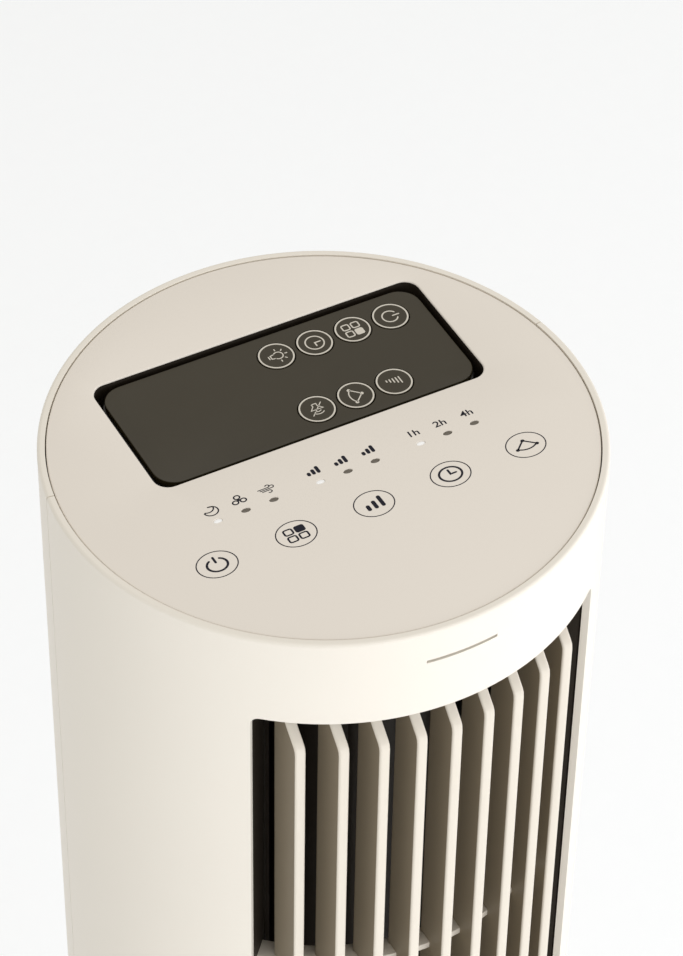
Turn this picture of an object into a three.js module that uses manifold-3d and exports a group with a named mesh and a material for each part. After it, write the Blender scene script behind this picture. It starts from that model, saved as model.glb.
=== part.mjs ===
// A round tower fan: a slim column with a touch panel and a remote in its top, a louvred air outlet
// down its front and air slots down its back, turning on a heavy disc base.
// Millimetres. +Z is up, the outlet faces -Y, and the origin is the middle of the floor under the base.
import * as THREE from "three";
import { mergeVertices } from "three/addons/utils/BufferGeometryUtils.js";
import Module from "manifold-3d";

const wasm = await Module();
wasm.setup();

// ---------------------------------------------------------------- driving dimensions
const TOTAL_HEIGHT = 900;
const COLUMN_RADIUS = 70;
const BASE_RADIUS = 140;

const GAP = 0.3; // between pieces that touch
const COLUMN_STEP = 5; // degrees from facet to facet on the column's round pieces
const GRILLE_STEP = 10; // the same on the grille's hoops, which show only between the vanes
const BASE_STEP = 7.5; // the same on the base

// base
const FOOT = { radius: 9, height: 3.2, inset: 26 };
const PLATE = 2.5;
const BASE_WALL = 2.5;
const BASE_EDGE_HEIGHT = 13;
const BASE_EDGE_ROUND = 6;
const BASE_TOP = 30;
const BASE_SHOULDER = 8; // width of the flat that shows round the column
const BALLAST = { thick: 6.5, inset: 14, fromBosses: 3 };
const SKIRT_CLEARANCE = 1.2;
const HUB = { wall: 6 };
const HUB_CAP = { overlap: 6, thick: 2.5 };
const SCREW = { radius: 1.5, head: 2.8, headHeight: 1.6, length: 9, clearance: 0.5 };
const BOSS_RADIUS = 5;
const GLAND = { radius: 4, bore: 2.4, clearance: 0.5, inset: 0.5, length: 4.5 };

// turning joint
const SLIDE_RING = { wide: 12, thick: 3.4, inset: 8 };
const TURNTABLE = { thick: 4, bearing: 0.6, edge: 0.8 };
const COLUMN_FLOAT = 1.5; // height of the shadow line between base and column
const GEAR = { module: 1.25, fixedTeeth: 48, pinionTeeth: 12, thick: 8, slack: 0.25, pressure: 20 };
const TOOTH = { addendum: 0.8, dedendum: 1.15 }; // in modules
const GEAR_RIM = 2.5; // from the fixed gear's bore to its roots
const STEPPER = { radius: 14, height: 19, offset: 8, shaft: 2.5, aboveCap: 1 };
const STEPPER_EAR = { reach: 17.5, radius: 3.5, thick: 1 };
const PILLAR_RADIUS = 4;

// column shells
const SHELL_WALL = 1.95;
const RIM_CHAMFER = 0.8;
const FRONT_HALF_ANGLE = 100;
const WINDOW = { drop: 26.9, height: 592, halfAngle: 42.2 };
const SIGNAL_SLOT = { drop: 9.8, halfAngle: 7.8, height: 0.9 };
const SIGNAL_LENS = { thick: 2.6, margin: 2.4, sideAngle: 2 };
const INTAKE = { rows: 4, columns: 11, halfAngle: 60, width: 4.5, bridge: 14 };

// front grille
const VANES = { count: 9, fromJamb: 10.06, thick: 2.8, depth: 11, setBack: 0.5, round: 0.7 };
const VANE_CHAMFER = { drop: 10.6, slope: 1.15, neck: 1.5 }; // the neck is what is left at the frame
const RIBS = { bays: 6, thick: 2.2, front: 6.4, back: 12 };
const GRILLE_FRAME = { height: 4.5, below: 1.2, wide: 2.4, deep: 11.5, jambTurn: 0.4, overlap: 1.5 };

// air duct
const DUCT_PLATE = 3;
const DUCT_WALL = 2;
const IMPELLER = { radius: 40, setBack: 14, bays: 3, disc: 2, endClearance: 9 };
const BLADES = { count: 14, depth: 8.5, thick: 1.3, edge: 0.6, leans: [0, 3, 10] }; // leans in degrees
const IMPELLER_HUB = { radius: 10, length: 12, below: 3, above: 1 };
const SCROLL = { start: -155, clearance: 3.5, steps: 14 };
const TONGUE = { angle: 75, clearance: 3.2, sealTurn: 8 };
const MOTOR = { radius: 36, height: 70, shaft: 4, run: 0.5, floor: 3 };
const MOTOR_MOUNT = { inner: 20, outer: 34, thick: 5.2 };
const TOP_PIN = { radius: 3, bearing: 2, bush: 3.1, length: 6, stand: 1 };

// control panel
const PANEL = { thick: 2.5, drop: 0.2, skirt: 5, skirtWall: 2.2 };
const KEY_ROW = { count: 5, pitch: 21.3, y: -26, pad: 4 };
const LIGHTS = { groups: 3, groupPitch: 28, pitch: 7.6, y: -13.2, radius: 1.2, clearance: 0.3, sunk: 0.05 };
const LIGHT_BAR = { thick: 1.3, margin: 2 };
const TOUCH_BOARD = { margin: 5.4, depth: 28, thick: 1.6, below: 2.1 };
const POWER_BOARD = { halfWidth: 33, height: 66, thick: 1.6, fromShell: 26, z: 76 };
const POWER_PARTS = [
  { x: -29, z: 6, wide: 20, tall: 20, deep: 16 }, // transformer
  { x: -4, z: 34, wide: 14, tall: 16, deep: 12 }, // capacitor
  { x: 15, z: 4, wide: 14, tall: 36, deep: 9 }, // terminals
];

// remote control and the tray that it lies in
const REMOTE = { length: 89.4, width: 38.6, thick: 7.2, corner: 6.5, wall: 1.2 };
const TRAY = { x: 2, y: 21.9, clearance: 1.3, corner: 4, wall: 2, sink: 1.1 };
const FACE = { thick: 1.8, inset: 0.6 };
const KEYPAD = { thick: 1, inset: 2 };
const REMOTE_BOARD = { thick: 1 };
const REMOTE_KEYS = { radius: 4.8, clearance: 0.3, proud: 0.1, flange: 0.45, flangeThick: 0.3, travel: 0.4 };
const REMOTE_KEY_GRID = { fromEnd: 10.35, columns: 4, pitch: 10.85, rows: [10.6, -11.2] };
const CELL = { radius: 10, thick: 2.5, end: 14, holderWall: 1.2, holderFloor: 0.5 };

// ---------------------------------------------------------------- solids
const radians = THREE.MathUtils.degToRad;

// Azimuth 0 is the front, -Y, and it grows towards +X.
const polar = (radius, azimuth) => [
  radius * Math.sin(radians(azimuth)),
  -radius * Math.cos(radians(azimuth)),
];

function arc(radius, from, to, step = COLUMN_STEP) {
  const count = Math.max(1, Math.round(Math.abs(to - from) / step));
  return Array.from({ length: count + 1 }, (_, i) => polar(radius, from + ((to - from) * i) / count));
}

function solid(geometry) {
  const bare = geometry.index ? geometry.toNonIndexed() : geometry.clone();
  bare.deleteAttribute("normal");
  bare.deleteAttribute("uv");
  const merged = mergeVertices(bare, 1e-4);
  return new wasm.Manifold(
    new wasm.Mesh({
      numProp: 3,
      vertProperties: merged.attributes.position.array,
      triVerts: new Uint32Array(merged.index.array),
    }),
  );
}

const join = (first, ...others) => others.reduce((whole, next) => whole.add(next), first);
const cut = (first, ...others) => others.reduce((whole, next) => whole.subtract(next), first);

function outline(points) {
  const vectors = points.map(([x, y]) => new THREE.Vector2(x, y));
  if (THREE.ShapeUtils.isClockWise(vectors)) vectors.reverse();
  return new THREE.Shape(vectors);
}

const extruded = (points, height, bevel = {}) =>
  new THREE.ExtrudeGeometry(outline(points), { depth: height, bevelEnabled: false, ...bevel });

const prism = (points, low, high) => solid(extruded(points, high - low).translate(0, 0, low));

const slab = (x0, x1, y0, y1, low, high) =>
  solid(new THREE.BoxGeometry(x1 - x0, y1 - y0, high - low)
    .translate((x0 + x1) / 2, (y0 + y1) / 2, (low + high) / 2));

const post = (radius, low, high, x = 0, y = 0, sides = 16) =>
  solid(new THREE.CylinderGeometry(radius, radius, high - low, sides)
    .rotateX(Math.PI / 2)
    .translate(x, y, (low + high) / 2));

// A closed profile of [radius, height] points turned about the Z axis.
function turned(profile, step = COLUMN_STEP) {
  const ring = profile.map(([radius, z]) => new THREE.Vector2(radius, z));
  if (THREE.ShapeUtils.isClockWise(ring)) ring.reverse();
  return solid(new THREE.LatheGeometry([...ring, ring[0]], Math.round(360 / step)).rotateX(Math.PI / 2));
}

const ring = (inner, outer, low, high, step) =>
  turned([[inner, low], [outer, low], [outer, high], [inner, high]], step);

const sector = (inner, outer, from, to, low, high, step) =>
  prism([...arc(outer, from, to, step), ...arc(inner, to, from, step)], low, high);

const wedge = (from, to, low, high) =>
  prism([[0, 0], ...arc(2 * COLUMN_RADIUS, from, to)], low, high);

function roundedRectangle(x, y, length, width, corner, segments = 4) {
  const points = [];
  const quarters = [[1, 1], [-1, 1], [-1, -1], [1, -1]];
  quarters.forEach(([sx, sy], quarter) => {
    for (let i = 0; i <= segments; i++) {
      const turn = ((quarter + i / segments) * Math.PI) / 2;
      points.push([
        x + sx * (length / 2 - corner) + corner * Math.cos(turn),
        y + sy * (width / 2 - corner) + corner * Math.sin(turn),
      ]);
    }
  });
  return points;
}

// A wall of even thickness that follows a line of points.
function band(points, thick, low, high) {
  const side = (sign) =>
    points.map(([x, y], i) => {
      const [ax, ay] = points[Math.max(0, i - 1)];
      const [bx, by] = points[Math.min(points.length - 1, i + 1)];
      const length = Math.hypot(bx - ax, by - ay);
      const reach = (sign * thick) / 2 / length;
      return [x - (by - ay) * reach, y + (bx - ax) * reach];
    });
  return prism([...side(1), ...side(-1).reverse()], low, high);
}

// ---------------------------------------------------------------- named pieces
const fan = new THREE.Group();

const CREAM = { color: 0xf3eee5, roughness: 0.5, metalness: 0 };
const PANEL_CREAM = { color: 0xe0d8cd, roughness: 0.5, metalness: 0 };
const DARK = { color: 0x484238, roughness: 0.35, metalness: 0 };
const BLACK = { color: 0x1c1a17, roughness: 0.6, metalness: 0 };
const RUBBER = { color: 0x2a2825, roughness: 0.9, metalness: 0 };
const STEEL = { color: 0xb8b8b6, roughness: 0.35, metalness: 1 };
const BRONZE = { color: 0xa98250, roughness: 0.4, metalness: 1 };
const ACETAL = { color: 0xe9e6dc, roughness: 0.4, metalness: 0 };
const BOARD = { color: 0x2f5d3a, roughness: 0.55, metalness: 0 };
const CLEAR = { color: 0xf4f1ea, roughness: 0.2, metalness: 0 };

function piece(name, body, finish) {
  const { numProp, vertProperties, triVerts } = body.getMesh();
  const positions = new Float32Array((vertProperties.length / numProp) * 3);
  for (let i = 0; i < positions.length / 3; i++) {
    positions.set(vertProperties.subarray(i * numProp, i * numProp + 3), i * 3);
  }
  const geometry = new THREE.BufferGeometry()
    .setAttribute("position", new THREE.BufferAttribute(positions, 3))
    .setIndex(new THREE.BufferAttribute(triVerts, 1));
  geometry.computeVertexNormals();
  const mesh = new THREE.Mesh(geometry, new THREE.MeshStandardMaterial(finish));
  mesh.name = name;
  fan.add(mesh);
}

// A screw along Z whose head is at its lower end when up is 1, and at its upper end when up is -1.
function screw(x, y, seat, up) {
  const tip = seat + up * SCREW.length;
  const head = seat - up * SCREW.headHeight;
  return join(
    post(SCREW.radius, Math.min(seat - up * 0.2, tip), Math.max(seat - up * 0.2, tip), x, y, 10),
    post(SCREW.head, Math.min(seat, head), Math.max(seat, head), x, y, 10),
  );
}

// ---------------------------------------------------------------- heights and radii that follow
const plateLow = FOOT.height + GAP;
const plateHigh = plateLow + PLATE;
const fixedPitchRadius = (GEAR.module * GEAR.fixedTeeth) / 2;
const pinionPitchRadius = (GEAR.module * GEAR.pinionTeeth) / 2;
const gearCentres = fixedPitchRadius + pinionPitchRadius;
const hubOuter = fixedPitchRadius - TOOTH.dedendum * GEAR.module - GEAR_RIM - GAP;
const slideLow = BASE_TOP + GAP;
const turntableLow = slideLow + SLIDE_RING.thick + GAP;
const turntableHigh = turntableLow + TURNTABLE.thick;
const gearLow = turntableHigh + GAP;
const hubTop = gearLow + GEAR.thick + GAP;
const shellInner = COLUMN_RADIUS - SHELL_WALL;
const windowTop = TOTAL_HEIGHT - WINDOW.drop;
const windowLow = windowTop - WINDOW.height;
const panelTop = TOTAL_HEIGHT - PANEL.drop;
const panelUnder = panelTop - PANEL.thick;
const trayFloor = panelTop - TRAY.sink - REMOTE.thick - GAP;

// ---------------------------------------------------------------- base
function makeBase() {
  const edgeTop = plateLow - GAP + BASE_EDGE_HEIGHT;
  const shoulder = COLUMN_RADIUS + BASE_SHOULDER;
  const rounding = [0, 45, 90].map((turn) => [
    BASE_RADIUS - BASE_EDGE_ROUND * (1 - Math.cos(radians(turn))),
    edgeTop - BASE_EDGE_ROUND * (1 - Math.sin(radians(turn))),
  ]);
  const hubInner = hubOuter - HUB.wall;
  const profile = [
    [BASE_RADIUS, plateLow - GAP],
    ...rounding,
    [shoulder, BASE_TOP],
    [hubOuter, BASE_TOP],
    [hubOuter, hubTop],
    [hubInner, hubTop],
    [hubInner, BASE_TOP - BASE_WALL],
    [shoulder, BASE_TOP - BASE_WALL],
    [BASE_RADIUS - BASE_EDGE_ROUND, edgeTop - BASE_WALL],
    [BASE_RADIUS - BASE_WALL, edgeTop - BASE_EDGE_ROUND],
    [BASE_RADIUS - BASE_WALL, plateLow - GAP],
  ];
  const plateRadius = BASE_RADIUS - BASE_WALL - SKIRT_CLEARANCE;
  const bossCircle = shoulder - 2 * BOSS_RADIUS;
  const corners = [45, 135, 225, 315];
  const screwHole = SCREW.radius + SCREW.clearance;
  const screwSeat = plateLow + SCREW.headHeight;

  let shell = turned(profile, BASE_STEP);
  let plate = post(plateRadius, plateLow, plateHigh, 0, 0, 360 / BASE_STEP);
  corners.forEach((azimuth) => {
    const [x, y] = polar(bossCircle, azimuth);
    shell = join(shell, post(BOSS_RADIUS, plateHigh + GAP, BASE_TOP - BASE_WALL / 2, x, y));
    shell = cut(shell, post(screwHole, 0, screwSeat + SCREW.length + 1, x, y, 12));
    plate = cut(
      plate,
      post(screwHole, 0, BASE_TOP, x, y, 12),
      post(SCREW.head + SCREW.clearance, 0, screwSeat + GAP, x, y, 12),
    );
  });
  const hubScrewCircle = hubOuter - HUB.wall / 2;
  const hubCorners = [0, 120, 240];
  const capLow = hubTop + GAP;
  const capHigh = capLow + HUB_CAP.thick;
  let cap = ring(hubInner, hubOuter + HUB_CAP.overlap, capLow, capHigh, BASE_STEP);
  hubCorners.forEach((azimuth) => {
    const [x, y] = polar(hubScrewCircle, azimuth);
    const hole = post(screwHole, capHigh - SCREW.length - 1, capHigh + 1, x, y, 12);
    shell = cut(shell, hole);
    cap = cut(cap, hole);
  });
  const glandHeight = (plateHigh + edgeTop) / 2;
  const glandHole = solid(
    new THREE.CylinderGeometry(GLAND.radius, GLAND.radius, 8 * BASE_WALL, 20)
      .translate(0, BASE_RADIUS, glandHeight),
  );
  shell = cut(shell, glandHole);

  piece("base_shell", shell, CREAM);
  piece("base_plate", plate, CREAM);
  const ballastInner = bossCircle + BOSS_RADIUS + BALLAST.fromBosses;
  const ballastOuter = BASE_RADIUS - BALLAST.inset;
  const ballastLow = plateHigh + GAP;
  piece(
    "ballast_ring",
    ring(ballastInner, ballastOuter, ballastLow, ballastLow + BALLAST.thick, BASE_STEP),
    STEEL,
  );
  corners.forEach((azimuth, i) => {
    const [x, y] = polar(BASE_RADIUS - FOOT.inset, azimuth);
    piece(`foot_${i + 1}`, post(FOOT.radius, 0, FOOT.height, x, y, 20), RUBBER);
    const [sx, sy] = polar(bossCircle, azimuth);
    piece(`base_screw_${i + 1}`, screw(sx, sy, screwSeat, 1), STEEL);
  });
  piece("hub_cap", cap, STEEL);
  hubCorners.forEach((azimuth, i) => {
    const [x, y] = polar(hubScrewCircle, azimuth);
    piece(`hub_screw_${i + 1}`, screw(x, y, capHigh + GAP, -1), STEEL);
  });
  const glandOuter = GLAND.radius - GLAND.clearance;
  const tube = (radius, length) =>
    solid(new THREE.CylinderGeometry(radius, radius, length, 20)
      .translate(0, BASE_RADIUS - GLAND.inset - GLAND.length / 2, glandHeight));
  piece("cord_gland", cut(tube(glandOuter, GLAND.length), tube(GLAND.bore, 2 * GLAND.length)), RUBBER);
}

// ---------------------------------------------------------------- turning joint and its drive
// Outline of a spur gear with involute flanks, one tooth centred on the angle first, in degrees.
function gearOutline(teeth, first) {
  const pitchRadius = (GEAR.module * teeth) / 2;
  const baseRadius = pitchRadius * Math.cos(radians(GEAR.pressure));
  const involute = (radius) => {
    const angle = Math.acos(Math.min(1, baseRadius / radius));
    return Math.tan(angle) - angle;
  };
  const halfAtPitch = Math.PI / (2 * teeth) - GEAR.slack / (2 * pitchRadius);
  const half = (radius) => halfAtPitch + involute(pitchRadius) - involute(Math.max(radius, baseRadius));
  const radii = [pitchRadius - TOOTH.dedendum * GEAR.module, pitchRadius + TOOTH.addendum * GEAR.module];
  const points = [];
  for (let tooth = 0; tooth < teeth; tooth++) {
    const centre = radians(first) + (2 * Math.PI * tooth) / teeth;
    radii.forEach((radius) => points.push([radius, centre - half(radius)]));
    [...radii].reverse().forEach((radius) => points.push([radius, centre + half(radius)]));
  }
  return points.map(([radius, angle]) => [radius * Math.cos(angle), radius * Math.sin(angle)]);
}

function makeTurningDrive() {
  const slideOuter = COLUMN_RADIUS - SLIDE_RING.inset;
  piece(
    "slide_ring",
    ring(slideOuter - SLIDE_RING.wide, slideOuter, slideLow, slideLow + SLIDE_RING.thick, BASE_STEP),
    ACETAL,
  );
  const gearHigh = gearLow + GEAR.thick;
  const fixedGear = cut(
    prism(gearOutline(GEAR.fixedTeeth, 90), gearLow, gearHigh),
    post(hubOuter + GAP, gearLow - 1, gearHigh + 1, 0, 0, 360 / BASE_STEP),
  );
  piece("fixed_gear", fixedGear, ACETAL);

  const motorLow = gearHigh + HUB_CAP.thick + 2 * GAP + STEPPER.aboveCap;
  const toothHalfPitch = 180 / GEAR.pinionTeeth;
  const pinion = join(
    prism(gearOutline(GEAR.pinionTeeth, toothHalfPitch - 90), gearLow + GAP, gearHigh - GAP),
    post(STEPPER.shaft, gearHigh - 1, motorLow - GAP, 0, 0, 12),
  );
  const placed = pinion.getMesh();
  const shifted = new THREE.BufferGeometry()
    .setAttribute("position", new THREE.BufferAttribute(placed.vertProperties.slice(), 3))
    .setIndex(new THREE.BufferAttribute(placed.triVerts, 1))
    .translate(0, gearCentres, 0);
  piece("drive_pinion", solid(shifted), ACETAL);

  const motorY = gearCentres + STEPPER.offset;
  const earHigh = motorLow + STEPPER_EAR.thick;
  const ears = [-1, 1].map((side) => side * STEPPER_EAR.reach);
  let stepper = post(STEPPER.radius, motorLow, motorLow + STEPPER.height, 0, motorY, 28);
  const rim = shellInner - TURNTABLE.edge;
  let turntable = ring(hubOuter + TURNTABLE.bearing, rim, turntableLow, turntableHigh, BASE_STEP);
  ears.forEach((x) => {
    const inward = (Math.sign(x) * STEPPER.radius) / 2;
    const web = [
      Math.min(x, inward),
      Math.max(x, inward),
      motorY - STEPPER_EAR.radius,
      motorY + STEPPER_EAR.radius,
    ];
    stepper = join(
      stepper,
      slab(...web, motorLow, earHigh),
      post(STEPPER_EAR.radius, motorLow, earHigh, x, motorY),
    );
    turntable = join(turntable, post(PILLAR_RADIUS, turntableHigh - 1, motorLow - GAP, x, motorY));
  });
  piece("turntable", turntable, BLACK);
  piece("stepper_motor", stepper, STEEL);
}

// ---------------------------------------------------------------- column shells
function makeShells() {
  const low = BASE_TOP + COLUMN_FLOAT;
  const tube = turned([
    [shellInner, low],
    [COLUMN_RADIUS, low],
    [COLUMN_RADIUS, TOTAL_HEIGHT - RIM_CHAMFER],
    [COLUMN_RADIUS - RIM_CHAMFER, TOTAL_HEIGHT],
    [shellInner, TOTAL_HEIGHT],
  ]);
  const seamHalf = THREE.MathUtils.radToDeg(GAP / 2 / COLUMN_RADIUS);
  const frontHalf = FRONT_HALF_ANGLE - seamHalf;
  const reach = 2 * COLUMN_RADIUS;
  const windowHole = sector(shellInner / 2, reach, -WINDOW.halfAngle, WINDOW.halfAngle, windowLow, windowTop);

  const slotHalf = COLUMN_RADIUS * Math.sin(radians(SIGNAL_SLOT.halfAngle));
  const slotShape = roundedRectangle(0, 0, 2 * slotHalf, SIGNAL_SLOT.height, SIGNAL_SLOT.height / 2.02, 3);
  const slotHole = solid(
    extruded(slotShape, COLUMN_RADIUS)
      .rotateX(Math.PI / 2)
      .translate(0, -COLUMN_RADIUS / 2, TOTAL_HEIGHT - SIGNAL_SLOT.drop),
  );
  const front = tube.intersect(wedge(-frontHalf, frontHalf, 0, TOTAL_HEIGHT + 1));
  piece("front_shell", cut(front, windowHole, slotHole), CREAM);

  const rearFrom = FRONT_HALF_ANGLE + seamHalf;
  let rear = tube.intersect(wedge(rearFrom, 360 - rearFrom, 0, TOTAL_HEIGHT + 1));
  const rowPitch = WINDOW.height / INTAKE.rows;
  const columnPitch = (2 * INTAKE.halfAngle) / (INTAKE.columns - 1);
  const slotAngle = THREE.MathUtils.radToDeg(INTAKE.width / 2 / COLUMN_RADIUS);
  for (let row = 0; row < INTAKE.rows; row++) {
    const slotLow = windowLow + row * rowPitch + INTAKE.bridge / 2;
    for (let column = 0; column < INTAKE.columns; column++) {
      const middle = 180 - INTAKE.halfAngle + column * columnPitch;
      const slot = sector(shellInner / 2, reach, middle - slotAngle, middle + slotAngle,
        slotLow, slotLow + rowPitch - INTAKE.bridge);
      rear = cut(rear, slot);
    }
  }
  piece("rear_shell", rear, CREAM);

  const lensOuter = shellInner - GAP;
  const lensMiddle = TOTAL_HEIGHT - SIGNAL_SLOT.drop;
  const lensTop = Math.min(lensMiddle + SIGNAL_LENS.margin, panelUnder - PANEL.skirt - GAP);
  const lensLow = lensMiddle - SIGNAL_LENS.margin;
  const lensHalf = SIGNAL_SLOT.halfAngle + SIGNAL_LENS.sideAngle;
  piece(
    "signal_lens",
    sector(lensOuter - SIGNAL_LENS.thick, lensOuter, -lensHalf, lensHalf, lensLow, lensTop),
    BLACK,
  );
}

// ---------------------------------------------------------------- front grille
function makeGrille() {
  const frontRadius = COLUMN_RADIUS - VANES.setBack;
  const frameTop = windowTop - GRILLE_FRAME.below + GRILLE_FRAME.height;
  const frameLow = windowLow + GRILLE_FRAME.below - GRILLE_FRAME.height;
  const frameOuter = shellInner - GAP;
  const frameInner = frameOuter - GRILLE_FRAME.deep;
  const sideInner = WINDOW.halfAngle + GRILLE_FRAME.jambTurn;
  const sideOuter = sideInner + THREE.MathUtils.radToDeg(GRILLE_FRAME.wide / frameOuter);

  const highEnd = frameTop - GRILLE_FRAME.overlap;
  const lowEnd = frameLow + GRILLE_FRAME.overlap;
  const hoop = (inner, outer, half, low, high) => sector(inner, outer, -half, half, low, high, GRILLE_STEP);
  const parts = [
    hoop(frameInner, frameOuter, sideOuter, windowTop - GRILLE_FRAME.below, frameTop),
    hoop(frameInner, frameOuter, sideOuter, frameLow, windowLow + GRILLE_FRAME.below),
    sector(frameInner, frameOuter, sideInner, sideOuter, lowEnd, highEnd),
    sector(frameInner, frameOuter, -sideOuter, -sideInner, lowEnd, highEnd),
  ];
  const bay = WINDOW.height / RIBS.bays;
  for (let rib = 1; rib < RIBS.bays; rib++) {
    const top = windowTop - rib * bay;
    const ribHalf = (sideInner + sideOuter) / 2;
    parts.push(hoop(frontRadius - RIBS.back, frontRadius - RIBS.front, ribHalf, top - RIBS.thick, top));
  }
  const lastVane = COLUMN_RADIUS * Math.sin(radians(WINDOW.halfAngle)) - VANES.fromJamb;
  const run = VANE_CHAMFER.drop - GRILLE_FRAME.below;
  const back = Math.min(VANE_CHAMFER.slope * run, VANES.depth - VANE_CHAMFER.neck);
  for (let vane = 0; vane < VANES.count; vane++) {
    const x = lastVane * ((2 * vane) / (VANES.count - 1) - 1);
    const front = -Math.sqrt(frontRadius ** 2 - x ** 2);
    const side = [
      [front, windowLow + VANE_CHAMFER.drop],
      [front, windowTop - VANE_CHAMFER.drop],
      [front + back, windowTop - GRILLE_FRAME.below],
      [front + back, highEnd],
      [front + VANES.depth, highEnd],
      [front + VANES.depth, lowEnd],
      [front + back, lowEnd],
      [front + back, windowLow + GRILLE_FRAME.below],
    ];
    const bevel = {
      bevelEnabled: true,
      bevelThickness: VANES.round,
      bevelSize: VANES.round,
      bevelOffset: -VANES.round,
      bevelSegments: 1,
    };
    // The outline is drawn in Y and Z, then stood up across X.
    parts.push(solid(
      extruded(side, VANES.thick - 2 * VANES.round, bevel)
        .rotateX(Math.PI / 2)
        .rotateZ(Math.PI / 2)
        .translate(x - VANES.thick / 2 + VANES.round, 0, 0),
    ));
  }
  piece("front_grille", join(...parts), CREAM);
}

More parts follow.
